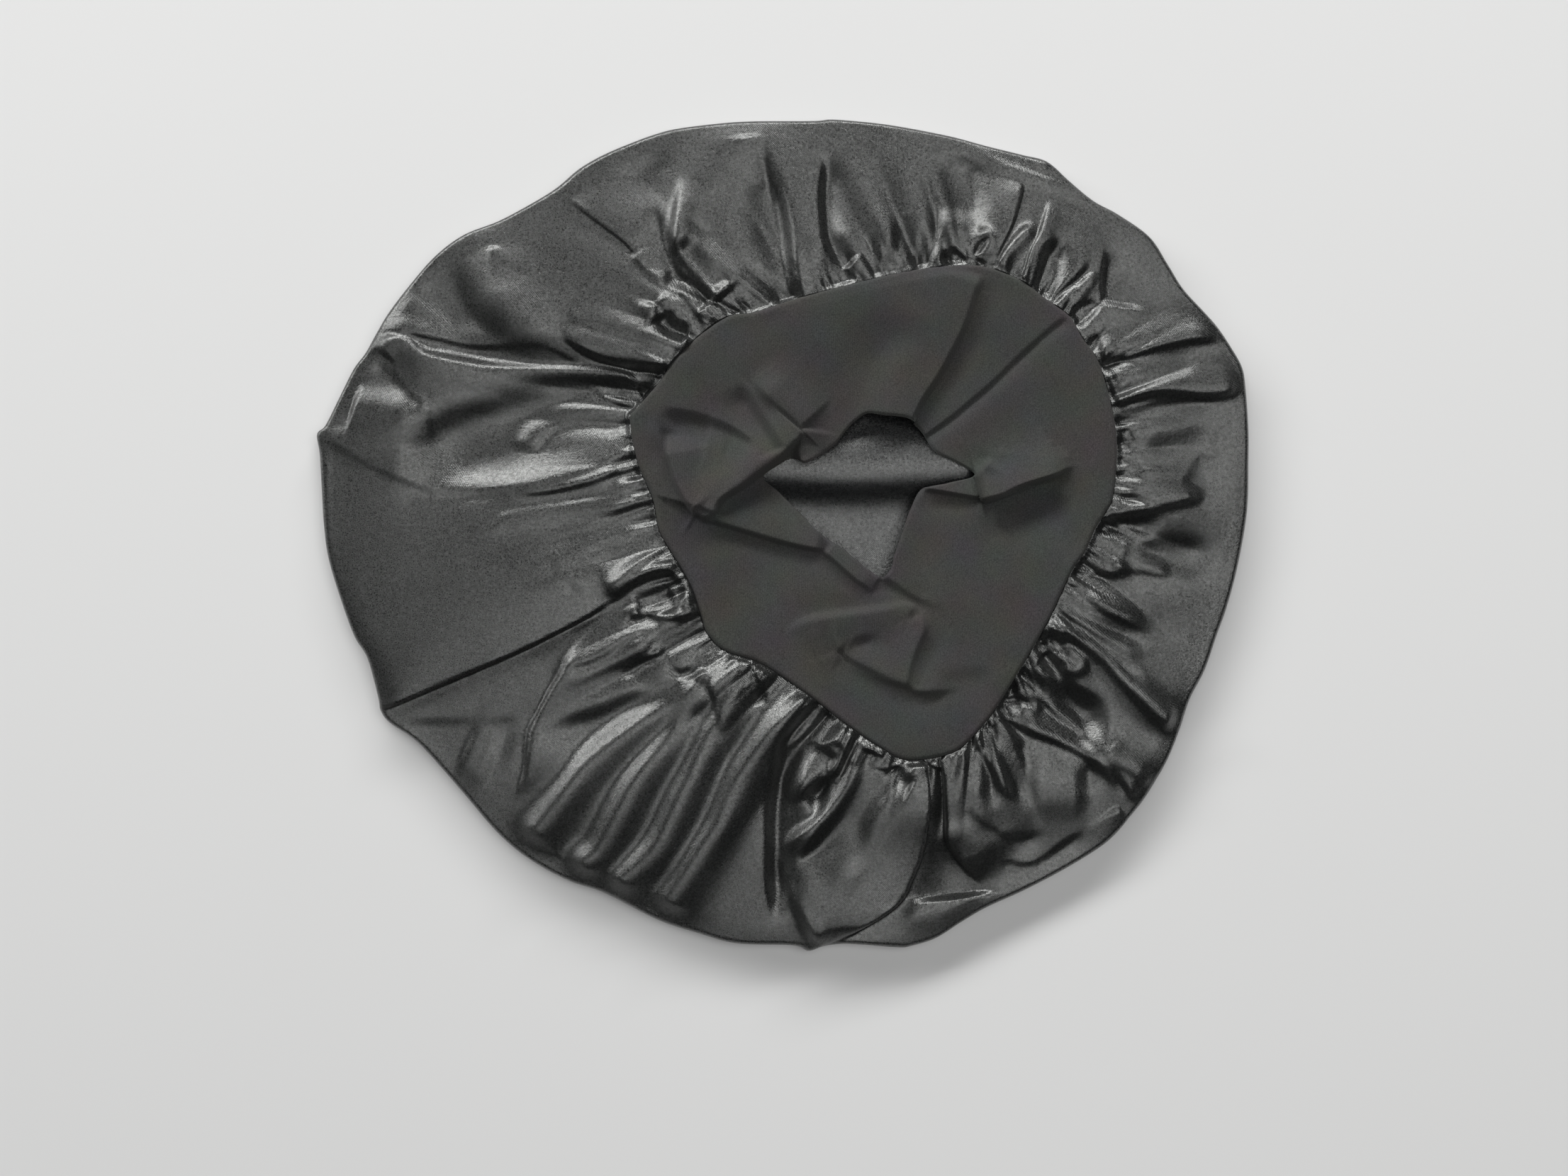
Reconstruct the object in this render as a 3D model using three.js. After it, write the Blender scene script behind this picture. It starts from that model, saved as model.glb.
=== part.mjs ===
// Hair bonnet of black satin, lying flat with its mouth up and its wide stretch band folded inward.
// Millimetres, +Z up, +X along the bonnet's longer side. The origin is the middle of its underside.
import * as THREE from "three";

// The bonnet as it lies
const bonnetLength = 331;
const bonnetWidth = 295;
const edgeHeight = 7.6;
const puffHeight = 0.4;
const satinLowest = 10;

// The gathered seam between satin and band, and where its middle lies on the bonnet
const seamLength = 169;
const seamWidth = 172;
const seamHeight = 15;
const seamOffsetX = 31.6;
const seamOffsetY = 7.9;
const seamAllowance = 5;

// The mouth, which is the band's folded free edge, and where its middle lies from the seam's middle
const mouthLength = 76;
const mouthWidth = 57;
const mouthHeight = 12;
const mouthOffsetX = -1.2;
const mouthOffsetY = 5.9;
const mouthFloor = 9.2;

// Cloth and thread
const satinWall = 0.8;
const satinLayerGap = 0.5;
const bandThickness = 2.4;
const threadThickness = 1;
const seamGap = 0.3;
const underBandGap = 0.6;
const gatherStitchPitch = 6.6;
const closingStitchPitch = 5;
const closingStitchWidth = 4;

// Folds: how far a full fold rises and how wide it is
const satinFoldRise = 7;
const satinFoldWidth = 9;
const bandFoldRise = 6.5;
const bandFoldWidth = 8;
const gatherRise = 1.6;

// How finely the cloth is divided
const satinLines = 76;
const bandLines = 88;
const threadSides = 4;

// Stations across the cloth, as shares of the way from the gathered seam
const satinStationShares = [0.18, 0.42, 0.7, 1];
const bandStationShares = [0.12, 0.35, 0.6, 0.85, 1];
const closingThreadShares = [0.06, 0.94];

// Where along its outline the band's strip is closed, as a share of the way round
const closingSeamShare = 0.153;

// How much of a fold is left at the outer edge
const edgeFoldShare = 0.4;

// How the satin's height falls away from seam to edge: the power of the share of the way
const crownPower = 1.6;

// Points measured along each outline before it is divided evenly
const outlineCount = 1000;
const outlineSamples = 2000;

// The outer edge, counter-clockwise from the right, as shares of half the length and half the width
const outerEdgeShares = [
  [0.98, -0.01], [0.99, 0.15], [1, 0.3], [0.99, 0.4], [0.95, 0.47], [0.84, 0.66], [0.79, 0.74], [0.67, 0.82],
  [0.57, 0.9], [0.42, 0.94], [0.25, 0.98], [0, 1], [-0.16, 0.99], [-0.25, 0.97], [-0.4, 0.9], [-0.53, 0.78],
  [-0.67, 0.7], [-0.73, 0.65], [-0.87, 0.49], [-0.93, 0.36], [-1, 0.24], [-0.99, 0.08], [-0.97, -0.09],
  [-0.93, -0.18], [-0.89, -0.28], [-0.86, -0.42], [-0.84, -0.45], [-0.73, -0.54], [-0.67, -0.65], [-0.5, -0.8],
  [-0.36, -0.87], [-0.23, -0.91], [0.02, -0.98], [0.06, -1], [0.1, -0.98], [0.27, -0.98], [0.4, -0.92],
  [0.49, -0.87], [0.64, -0.78], [0.72, -0.71], [0.79, -0.61], [0.84, -0.52], [0.9, -0.37], [0.94, -0.2],
];

// The gathered seam, counter-clockwise from the right, as shares of half its own length and width
const seamShares = [
  [0.96, 0.03], [1, 0.2], [1, 0.33], [0.94, 0.6], [0.81, 0.8], [0.62, 0.94], [0.47, 0.99], [0.33, 1],
  [0.04, 0.96], [-0.25, 0.87], [-0.65, 0.79], [-0.91, 0.54], [-1, 0.4], [-1, 0.29], [-0.88, -0.03],
  [-0.78, -0.27], [-0.66, -0.54], [-0.43, -0.67], [-0.11, -0.89], [0.11, -1], [0.24, -1], [0.39, -0.92],
  [0.52, -0.77], [0.66, -0.57], [0.81, -0.24],
];

// The mouth, counter-clockwise from its right-hand tip, as shares of half its own length and width
const mouthShares = [
  [1, 0.25], [0.76, 0.42], [0.45, 0.79], [0.34, 0.93], [0, 1], [-0.14, 0.89], [-0.4, 0.57], [-0.53, 0.39],
  [-0.72, 0.44], [-1, 0.23], [-0.66, -0.2], [-0.37, -0.59], [-0.1, -0.87], [0.11, -1], [0.23, -0.85],
  [0.34, -0.29], [0.48, 0.1],
];

// Main folds of the satin: paths as shares of the bonnet's half sizes, with each fold's rise and width as
// shares of a full fold. A negative rise is a valley.
const satinFoldShares = [
  { rise: 0.4, width: 1.5, path: [[-0.56, 0.67], [-0.52, 0.58], [-0.43, 0.52], [-0.31, 0.47]] },
  { rise: -0.6, width: 0.8, path: [[-0.7, 0.53], [-0.61, 0.45], [-0.49, 0.4], [-0.36, 0.36]] },
  { rise: 0.3, width: 0.6, path: [[-0.85, 0.45], [-0.76, 0.43], [-0.64, 0.4]] },
  { rise: -0.7, width: 1.2, path: [[-0.8, 0.23], [-0.62, 0.19], [-0.45, 0.24]] },
  { rise: 0.5, width: 0.6, path: [[-0.97, 0.25], [-0.79, 0.13], [-0.62, 0.11], [-0.49, 0.13], [-0.35, 0.18]] },
  { rise: -0.2, width: 0.6, path: [[-0.76, 0.05], [-0.58, 0.06], [-0.38, 0.09]] },
  { rise: 0.3, width: 1.8, path: [[-0.82, -0.31], [-0.69, -0.25], [-0.53, -0.19], [-0.38, -0.1]] },
  { rise: -0.1, width: 0.9, path: [[-0.79, -0.43], [-0.61, -0.37], [-0.47, -0.31]] },
  { rise: 0.4, width: 1.6, path: [[-0.47, -0.41], [-0.5, -0.58]] },
  { rise: 0.3, width: 0.7, path: [[-0.54, -0.74], [-0.41, -0.54], [-0.28, -0.44], [-0.16, -0.36]] },
  { rise: 0.3, width: 0.7, path: [[-0.46, -0.82], [-0.38, -0.75], [-0.31, -0.58], [-0.2, -0.43], [-0.1, -0.33]] },
  { rise: 0.3, width: 0.7, path: [[-0.38, -0.85], [-0.28, -0.77], [-0.22, -0.64], [-0.16, -0.49], [-0.08, -0.34]] },
  { rise: 0.3, width: 0.7, path: [[-0.22, -0.85], [-0.14, -0.7], [-0.09, -0.58], [-0.02, -0.47], [0.06, -0.39]] },
  { rise: -0.1, width: 0.6, path: [[-0.23, -0.76], [-0.15, -0.58], [-0.09, -0.42]] },
  { rise: -0.5, width: 0.6, path: [[0.07, -0.4], [0, -0.49], [-0.02, -0.61], [-0.03, -0.87]] },
  { rise: 0.7, width: 1.2, path: [[0.24, -0.57], [0.24, -0.67], [0.2, -0.8], [0.12, -0.91]] },
  { rise: -0.5, width: 0.5, path: [[0.31, -0.55], [0.32, -0.66], [0.3, -0.76], [0.33, -0.83]] },
  { rise: 0.2, width: 1, path: [[0.39, -0.58], [0.4, -0.72], [0.45, -0.8]] },
  { rise: 0.3, width: 0.6, path: [[0.55, -0.21], [0.64, -0.25], [0.72, -0.34], [0.79, -0.41], [0.85, -0.47]] },
  { rise: -0.5, width: 0.7, path: [[0.49, -0.33], [0.58, -0.36], [0.68, -0.4]] },
  { rise: 0.1, width: 0.7, path: [[0.45, -0.42], [0.58, -0.48], [0.71, -0.6]] },
  { rise: -0.4, width: 0.9, path: [[0.69, -0.07], [0.8, -0.05], [0.93, -0.06]] },
  { rise: 0.1, width: 0.6, path: [[0.7, 0.31], [0.8, 0.35], [0.97, 0.35]] },
  { rise: 0.1, width: 0.6, path: [[0.67, 0.41], [0.8, 0.45], [0.94, 0.46]] },
  { rise: 0.1, width: 1, path: [[0.6, 0.8], [0.57, 0.67]] },
  { rise: -0.2, width: 0.9, path: [[0.38, 0.9], [0.38, 0.72]] },
  { rise: -0.3, width: 0.5, path: [[0.09, 0.93], [0.09, 0.74], [0.11, 0.65]] },
  { rise: 0.2, width: 0.6, path: [[0, 0.96], [0.02, 0.81], [0.04, 0.7], [0.03, 0.59]] },
  { rise: -0.3, width: 0.5, path: [[-0.03, 0.9], [0, 0.79], [0.02, 0.65]] },
  { rise: 0.1, width: 0.6, path: [[-0.21, 0.84], [-0.22, 0.7], [-0.16, 0.6]] },
  { rise: -0.3, width: 0.8, path: [[-0.29, 0.89], [-0.26, 0.74]] },
];

// Main folds of the band: paths as shares of the seam's half sizes, from the seam's middle
const bandFoldShares = [
  { rise: 1, width: 1, path: [[-0.29, 0.31], [-0.44, 0.18], [-0.65, 0]] },
  { rise: 1, width: 1, path: [[-0.35, -0.47], [-0.12, -0.46], [0.18, -0.42]] },
  { rise: 0.9, width: 0.9, path: [[0.2, 0.1], [0.46, 0.05], [0.83, 0.19]] },
  { rise: -0.5, width: 0.7, path: [[0.44, 0.97], [0.29, 0.65], [0.18, 0.39]] },
  { rise: 0.6, width: 0.8, path: [[-0.47, 0.14], [-0.15, -0.15], [0.14, -0.36]] },
];

const satinMaterial = new THREE.MeshStandardMaterial({ color: 0x2b2d30, roughness: 0.34, metalness: 0 });
const liningMaterial = new THREE.MeshStandardMaterial({ color: 0x2e3134, roughness: 0.36, metalness: 0 });
const bandMaterial = new THREE.MeshStandardMaterial({ color: 0x2d2d2b, roughness: 0.95, metalness: 0 });
const threadMaterial = new THREE.MeshStandardMaterial({ color: 0x1a1a1b, roughness: 0.7, metalness: 0 });

const seamMiddle = new THREE.Vector2(seamOffsetX, seamOffsetY);
const mouthMiddle = new THREE.Vector2(seamOffsetX + mouthOffsetX, seamOffsetY + mouthOffsetY);
const upright = new THREE.Vector3(0, 0, 1);

// Evenly spaced points on a closed outline, stretched to exactly its length and width about its middle
function outlinePoints(shares, length, width, middle, count) {
  const curve = new THREE.CatmullRomCurve3(shares.map(([x, y]) => new THREE.Vector3(x, y, 0)), true);
  curve.arcLengthDivisions = outlineSamples;
  const points = curve.getSpacedPoints(count).slice(0, count);
  const box = new THREE.Box3().setFromPoints(points);
  const span = box.getSize(new THREE.Vector3());
  const low = box.min;
  return points.map((p) => new THREE.Vector2(
    middle.x + length * ((p.x - low.x) / span.x - 1 / 2),
    middle.y + width * ((p.y - low.y) / span.y - 1 / 2),
  ));
}

function pathDistance(x, y, path) {
  let nearest = Infinity;
  for (let i = 1; i < path.length; i += 1) {
    const [ax, ay] = path[i - 1];
    const [bx, by] = path[i];
    const run = (bx - ax) ** 2 + (by - ay) ** 2;
    const along = THREE.MathUtils.clamp(((x - ax) * (bx - ax) + (y - ay) * (by - ay)) / run, 0, 1);
    nearest = Math.min(nearest, Math.hypot(x - ax - along * (bx - ax), y - ay - along * (by - ay)));
  }
  return nearest;
}

// Real paths and sizes of a table of folds
function realFolds(table, halfLength, halfWidth, middle, fullRise, fullWidth) {
  return table.map((fold) => ({
    path: fold.path.map(([x, y]) => [middle.x + x * halfLength, middle.y + y * halfWidth]),
    rise: fold.rise * fullRise,
    width: fold.width * fullWidth,
  }));
}

function foldRise(x, y, folds) {
  return folds.reduce((sum, f) => sum + f.rise * Math.exp(-((pathDistance(x, y, f.path) / f.width) ** 2)), 0);
}

// Closed surface over rows of points. Rows go round the object; each row is one cross-section, out along one
// face of the cloth and back along the other, and facing quads are split along facing diagonals. An open run
// of rows gets a cap at each end, made of strips between the section's facing points.
function solidFromRows(rows, { rowsClose, sectionCloses }) {
  const corners = [];
  const addTriangle = (a, b, c) => {
    if (!a.equals(b) && !b.equals(c) && !a.equals(c)) corners.push(a, b, c);
  };
  const addQuad = (a, b, c, d) => {
    addTriangle(a, b, c);
    addTriangle(a, c, d);
  };
  const rowSteps = rowsClose ? rows.length : rows.length - 1;
  const size = rows[0].length;
  const sectionSteps = sectionCloses ? size : size - 1;
  for (let j = 0; j < rowSteps; j += 1) {
    const here = rows[j];
    const next = rows[(j + 1) % rows.length];
    for (let k = 0; k < sectionSteps; k += 1) {
      const up = (k + 1) % size;
      if (k < size / 2) addQuad(here[k], next[k], next[up], here[up]);
      else addQuad(next[k], next[up], here[up], here[k]);
    }
  }
  if (!rowsClose) {
    const first = rows[0];
    const last = rows[rows.length - 1];
    for (let k = 0; k < size / 2 - 1; k += 1) {
      const facing = size - 1 - k;
      addQuad(first[k + 1], first[facing - 1], first[facing], first[k]);
      addQuad(last[k], last[facing], last[facing - 1], last[k + 1]);
    }
  }
  return new THREE.BufferGeometry().setFromPoints(corners);
}

function namedMesh(name, geometry, material) {
  geometry.computeVertexNormals();
  const mesh = new THREE.Mesh(geometry, material);
  mesh.name = name;
  return mesh;
}

// Satin: lines run from the gathered seam to the outer edge
const satinFolds = realFolds(
  satinFoldShares, bonnetLength / 2, bonnetWidth / 2, new THREE.Vector2(0, 0), satinFoldRise, satinFoldWidth,
);
const edgeRoll = edgeHeight / 2;
const edgePoints = outlinePoints(outerEdgeShares, bonnetLength, bonnetWidth, new THREE.Vector2(0, 0), satinLines);
const gatherPoints = outlinePoints(seamShares, seamLength, seamWidth, seamMiddle, satinLines);

// Height of the satin's upper face at a share of the way from seam to edge. Every other line is a small gather
// near the seam, which dies out towards the edge. No valley dips into the hair's room.
function satinTop(line, share, x, y) {
  const fall = share ** crownPower;
  const base = THREE.MathUtils.lerp(seamHeight, edgeHeight, fall) + puffHeight * Math.sin(Math.PI * share);
  const foldShare = Math.min(1, share / satinStationShares[0]) * THREE.MathUtils.lerp(1, edgeFoldShare, fall);
  const gather = gatherRise * (line % 2 === 0 ? 1 : -1) * (1 - share) * (1 - share);
  return Math.max(base + foldRise(x, y, satinFolds) * foldShare + gather, Math.min(base, satinLowest));
}

// One skin of a satin layer, from the middle of the underside to the turned-down edge at the seam
function satinSkin(line, depth) {
  const edge = edgePoints[line];
  const gather = gatherPoints[line];
  const outward = edge.clone().sub(gather).normalize();
  const rim = edge.clone().addScaledVector(outward, -edgeRoll);
  const side = edge.clone().addScaledVector(outward, -depth);
  const sewn = gather.clone().addScaledVector(outward, seamGap / 2 + depth);
  const skin = [
    new THREE.Vector3(seamMiddle.x, seamMiddle.y, depth),
    new THREE.Vector3(rim.x, rim.y, depth),
    new THREE.Vector3(side.x, side.y, edgeHeight / 2),
  ];
  for (const share of [...satinStationShares].reverse()) {
    const place = gather.clone().lerp(rim, share);
    skin.push(new THREE.Vector3(place.x, place.y, satinTop(line, share, place.x, place.y) - depth));
  }
  skin.push(new THREE.Vector3(sewn.x, sewn.y, seamHeight - depth));
  skin.push(new THREE.Vector3(sewn.x, sewn.y, seamHeight - seamAllowance));
  return skin;
}

function satinLayer(name, depth, material) {
  const rows = edgePoints.map((_, line) => [
    ...satinSkin(line, depth),
    ...satinSkin(line, depth + satinWall).reverse(),
  ]);
  return namedMesh(name, solidFromRows(rows, { rowsClose: true, sectionCloses: false }), material);
}

// Band: lines run from the gathered seam to the mouth, and the strip begins and ends at the closing seam
const bandFolds = realFolds(
  bandFoldShares, seamLength / 2, seamWidth / 2, seamMiddle, bandFoldRise, bandFoldWidth,
);
const seamOutline = outlinePoints(seamShares, seamLength, seamWidth, seamMiddle, outlineCount);
const mouthOutline = outlinePoints(mouthShares, mouthLength, mouthWidth, mouthMiddle, outlineCount);

function outlineAt(outline, share) {
  const place = THREE.MathUtils.euclideanModulo(share, 1) * outline.length;
  const before = Math.floor(place) % outline.length;
  return outline[before].clone().lerp(outline[(before + 1) % outline.length], place - Math.floor(place));
}

function outlineTangent(outline, share) {
  const step = 1 / outline.length;
  return outlineAt(outline, share + step).sub(outlineAt(outline, share - step)).normalize();
}

function bandTop(share, x, y) {
  const base = THREE.MathUtils.lerp(seamHeight, mouthHeight, THREE.MathUtils.smoothstep(share, 0, 1));
  const fold = foldRise(x, y, bandFolds) * Math.min(1, share / bandStationShares[0]);
  return Math.max(base + fold, mouthFloor + bandThickness);
}

// One skin of the band along a line, from its raw edge at the seam to its free edge
function bandSkin(round, sideways, depth) {
  const sewn = outlineAt(seamOutline, round);
  const free = outlineAt(mouthOutline, round);
  const inward = free.clone().sub(sewn).normalize();
  const shift = outlineTangent(seamOutline, round).multiplyScalar(sideways);
  const start = sewn.clone().addScaledVector(inward, seamGap / 2 + depth).add(shift);
  const skin = [
    new THREE.Vector3(start.x, start.y, seamHeight - seamAllowance),
    new THREE.Vector3(start.x, start.y, seamHeight - depth),
  ];
  for (const share of bandStationShares) {
    const place = sewn.clone().lerp(free, share).add(shift);
    skin.push(new THREE.Vector3(place.x, place.y, bandTop(share, place.x, place.y) - depth));
  }
  return skin;
}

function stretchBand() {
  const rows = [];
  for (let line = 0; line <= bandLines; line += 1) {
    const toEnd = line === 0 ? 1 : line === bandLines ? -1 : 0;
    const round = closingSeamShare + line / bandLines;
    const sideways = toEnd * (seamGap / 2);
    rows.push([...bandSkin(round, sideways, 0), ...bandSkin(round, sideways, bandThickness).reverse()]);
  }
  const geometry = solidFromRows(rows, { rowsClose: false, sectionCloses: true });
  return namedMesh("stretch_band", geometry, bandMaterial);
}

// Tube of thread through a run of points, each with its own sideways direction
function threadTube(name, stitches, rowsClose) {
  const rows = stitches.map(({ place, sideways }) => {
    const section = [];
    for (let side = 0; side < threadSides; side += 1) {
      const turn = (2 * Math.PI * side) / threadSides;
      section.push(place.clone()
        .addScaledVector(sideways, (threadThickness / 2) * Math.cos(turn))
        .addScaledVector(upright, (threadThickness / 2) * Math.sin(turn)));
    }
    return section;
  });
  return namedMesh(name, solidFromRows(rows, { rowsClose, sectionCloses: true }), threadMaterial);
}

// The gathering thread zigzags under the raw edges of band, shell and lining, a seam gap below them
function gatherSeamThread() {
  const round = seamOutline.reduce((sum, p, i) => sum + p.distanceTo(seamOutline[(i + 1) % outlineCount]), 0);
  const stitchCount = 2 * Math.round(round / gatherStitchPitch);
  const height = seamHeight - seamAllowance - seamGap - threadThickness / 2;
  const satinReach = 2 * satinWall + satinLayerGap;
  const stitches = [];
  for (let stitch = 0; stitch < stitchCount; stitch += 1) {
    const share = stitch / stitchCount;
    const tangent = outlineTangent(seamOutline, share);
    const outward = new THREE.Vector2(tangent.y, -tangent.x);
    const place = outlineAt(seamOutline, share).addScaledVector(outward, stitch % 2 === 0 ? satinReach : -bandThickness);
    stitches.push({
      place: new THREE.Vector3(place.x, place.y, height),
      sideways: new THREE.Vector3(outward.x, outward.y, 0),
    });
  }
  return threadTube("gather_seam_thread", stitches, true);
}

// Height of the band's underside along the closing seam, which runs straight between stations
function closingUnderside(share) {
  const sewn = outlineAt(seamOutline, closingSeamShare);
  const free = outlineAt(mouthOutline, closingSeamShare);
  const stops = [0, ...bandStationShares];
  const after = Math.max(1, stops.findIndex((stop) => stop >= share));
  const heights = [stops[after - 1], stops[after]].map((stop) => {
    const place = sewn.clone().lerp(free, stop);
    return stop === 0 ? seamHeight : bandTop(stop, place.x, place.y);
  });
  const along = (share - stops[after - 1]) / (stops[after] - stops[after - 1]);
  return THREE.MathUtils.lerp(heights[0], heights[1], along) - bandThickness;
}

// The closing thread zigzags across the strip's two ends, under the band
function bandClosingThread() {
  const sewn = outlineAt(seamOutline, closingSeamShare);
  const free = outlineAt(mouthOutline, closingSeamShare);
  const run = free.clone().sub(sewn);
  const across = new THREE.Vector2(run.y, -run.x).normalize();
  const [from, to] = closingThreadShares;
  const stitchCount = 2 * Math.round((run.length() * (to - from)) / closingStitchPitch);
  const stitches = [];
  for (let stitch = 0; stitch <= stitchCount; stitch += 1) {
    const share = from + ((to - from) * stitch) / stitchCount;
    const side = stitch % 2 === 0 ? 1 : -1;
    const place = sewn.clone().addScaledVector(run, share).addScaledVector(across, side * (closingStitchWidth / 2));
    const height = closingUnderside(share) - underBandGap - threadThickness / 2;
    stitches.push({
      place: new THREE.Vector3(place.x, place.y, height),
      sideways: new THREE.Vector3(across.x, across.y, 0),
    });
  }
  return threadTube("band_closing_thread", stitches, false);
}

const bonnet = new THREE.Group();
bonnet.name = "hair_bonnet";
bonnet.add(
  satinLayer("satin_shell", 0, satinMaterial),
  satinLayer("satin_lining", satinWall + satinLayerGap, liningMaterial),
  stretchBand(),
  gatherSeamThread(),
  bandClosingThread(),
);

export default bonnet;
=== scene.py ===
"""Hair bonnet of black satin, lying mouth up with its stretch band folded inward.

Cloth is worked out in millimetres on grids and written to Blender in metres. Places read from the photograph
are kept in its own pixels, PX_PER_MM to the millimetre, and go through to_mm.
"""

import math

import bpy
import numpy as np
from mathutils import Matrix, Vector


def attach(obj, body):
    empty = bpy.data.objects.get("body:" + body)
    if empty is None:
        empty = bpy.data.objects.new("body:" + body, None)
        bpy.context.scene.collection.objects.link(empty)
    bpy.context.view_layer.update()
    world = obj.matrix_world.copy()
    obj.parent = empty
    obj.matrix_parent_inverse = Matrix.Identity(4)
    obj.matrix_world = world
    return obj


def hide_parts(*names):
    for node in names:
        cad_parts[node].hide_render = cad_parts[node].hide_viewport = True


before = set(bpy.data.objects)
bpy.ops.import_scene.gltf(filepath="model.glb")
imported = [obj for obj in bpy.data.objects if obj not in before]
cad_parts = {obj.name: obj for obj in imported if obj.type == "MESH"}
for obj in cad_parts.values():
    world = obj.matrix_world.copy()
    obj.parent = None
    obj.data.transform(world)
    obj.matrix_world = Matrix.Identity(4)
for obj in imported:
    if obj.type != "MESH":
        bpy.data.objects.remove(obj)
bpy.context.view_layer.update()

MM = 0.001

# Photograph to object
PX_PER_MM = 4.0
MIDDLE_PX = (1104, 755)
PHOTO_SIZE_PX = (2212, 1659)
FLOOR_MIDDLE_PX = (1235, 905)

# Camera, straight above the picture's middle
CAMERA_HEIGHT = 0.62
EDGE_LEVEL = 0.007
SENSOR = 36.0

# How finely the cloth is divided, and how much closer together its rows lie at both ends
SATIN_LINES = 960
SATIN_ROWS = 92
SATIN_CROWDING = 0.075
BAND_LINES = 720
BAND_ROWS = 76
BAND_CROWDING = 0.05
LINING_EVERY = 2
SHELL_FLOOR_ROWS = 16
LINING_FLOOR_ROWS = 60
FLOOR_SHARE = 0.97

# Distances in mm of the rim's rows from the outer edge, on top and underneath
RIM_WIDTH = 6.0
RIM_ROWS = (5.0, 4.1, 3.4, 2.9, 2.5, 2.1, 1.7, 1.3, 0.9, 0.55, 0.3, 0.1, 0.0)
UNDER_ROWS = (0.12, 0.45, 0.9, 1.5, 2.3, 3.4, 5.5)

# The resting satin, in mm
EDGE_MIDDLE = 1.7
RIM_RISE = 5.2
RIM_REACH = 3.0
CROWN_RISE = 5.2
CROWN_REACH = 45.0
SEAM_HEIGHT = 13.2
SEAM_REACH = 12.0
SEAM_SWELL = 1.3
SEAM_SWELL_AT = 14
LOWEST_TOP = 4.6
HIGHEST_TOP = 33.0
LINING_GAP = 1.3
LINING_OUTWARD = 0.8
FLOOR_LIFT = 1.2
LEAST_LIFT = 0.2
ALLOWANCE = 5.0
SATIN_TUCK = (ALLOWANCE, 3.2, 1.4)

# The resting band, in mm
BAND_ABOVE_SEAM = 1.6
MOUTH_HEIGHT = 11.2
BAND_THICKNESS = 2.6
SHOULDER = 1.7
FREE_EDGE = 1.3
BAND_TUCK = (ALLOWANCE, 3.4, 1.6)
BAND_TAIL = (1.0, 2.0)

# Sewing thread, in mm
THREAD_WIDTH = 0.35
STITCH_PITCH = 2.4
ZIGZAG_REACH = 1.5
STEPS_PER_LOOP = 8
LOOP_OUTWARD = 0.2
LOOP_WIDTH = 1.7
LOOP_DEPTH = 4.4
LOOP_HEIGHT = 1.6

# How the strokes below turn into folds. Folds that overlap merge by this power.
MERGING = 3.5
RIDGE = dict(rise=1.05, gentle=1.7, steep=1, crest=0.8)
STEP = dict(rise=0.85, gentle=2.2, steep=1.3, crest=0)
FLAP_RISE = 0.9
FLAP_HOLLOW = 0.8
FLAP_HOLLOW_WIDTH = 4.5
BAND_GAIN = 1.7
BAND_LIP = 1.4

# Gathering waves at the seam: spacing, rise and reach outward, in mm
WAVES = ((5.5, 1.2, 12), (11, 2.0, 26), (22, 2.3, 48))

# Slow unevenness: rise and size of its features in mm, and seed
SATIN_NOISE = ((0.5, 27, 1), (0.16, 12, 2))
BAND_NOISE = ((0.35, 17, 21), (0.12, 7, 22))
FLOOR_NOISE = ((0.3, 13, 7),)

# Cloth simulation of the satin: frames, every how many rows and lines it takes, its own scale, how softly it is
# held to its place, and settings. shrink_min is the share by which all of it is drawn in.
SETTLING_FRAMES = 14
SETTLING_STEP = 2
SETTLING_SCALE = 0.02
HOLD = 0.2
CLOTH = dict(
    quality=6, mass=0.3, tension_stiffness=40, compression_stiffness=40, shear_stiffness=20, bending_stiffness=6,
    tension_damping=20, compression_damping=20, shear_damping=20, bending_damping=0.5, air_damping=2,
    vertex_group_mass="pin", pin_stiffness=4, shrink_min=0.004,
)

COMPASS = {
    "n": (0, 1), "ne": (1, 1), "e": (1, 0), "se": (1, -1), "s": (0, -1), "sw": (-1, -1), "w": (-1, 0),
    "nw": (-1, 1),
}
AWAY_FROM_KEY = {"s": "n", "se": "nw", "sw": "ne"}


def to_mm(points):
    points = np.asarray(points, float)
    return np.stack([points[..., 0] - MIDDLE_PX[0], MIDDLE_PX[1] - points[..., 1]], -1) / PX_PER_MM


# Outlines, clockwise in the picture
OUTER_EDGE_PX = [
    (1765, 650), (1763, 721), (1750, 798), (1734, 858), (1720, 897), (1703, 946), (1681, 989), (1667, 1031),
    (1650, 1073), (1632, 1105), (1614, 1133), (1597, 1154), (1576, 1179), (1551, 1200), (1500, 1231),
    (1444, 1260), (1391, 1284), (1355, 1305), (1320, 1327), (1285, 1338), (1267, 1340), (1197, 1335),
    (1162, 1338), (1140, 1345), (1119, 1337), (1038, 1334), (985, 1320), (925, 1300), (850, 1262), (800, 1245),
    (745, 1215), (700, 1178), (650, 1120), (600, 1063), (575, 1040), (545, 1020), (533, 1003), (530, 985),
    (515, 930), (497, 900), (480, 855), (460, 790), (453, 740), (450, 690), (447, 640), (443, 612), (455, 600),
    (475, 560), (495, 520), (512, 497), (527, 470), (545, 440), (575, 400), (610, 360), (650, 330), (700, 310),
    (750, 283), (783, 262), (815, 235), (850, 215), (890, 198), (920, 187), (950, 179), (1003, 172),
    (1056, 168), (1147, 167), (1176, 165), (1250, 172), (1338, 188), (1391, 202), (1444, 215), (1479, 225),
    (1509, 251), (1544, 280), (1579, 299), (1624, 331), (1650, 370), (1672, 405), (1701, 437), (1721, 460),
    (1740, 488), (1756, 517), (1761, 546), (1765, 604),
]
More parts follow.
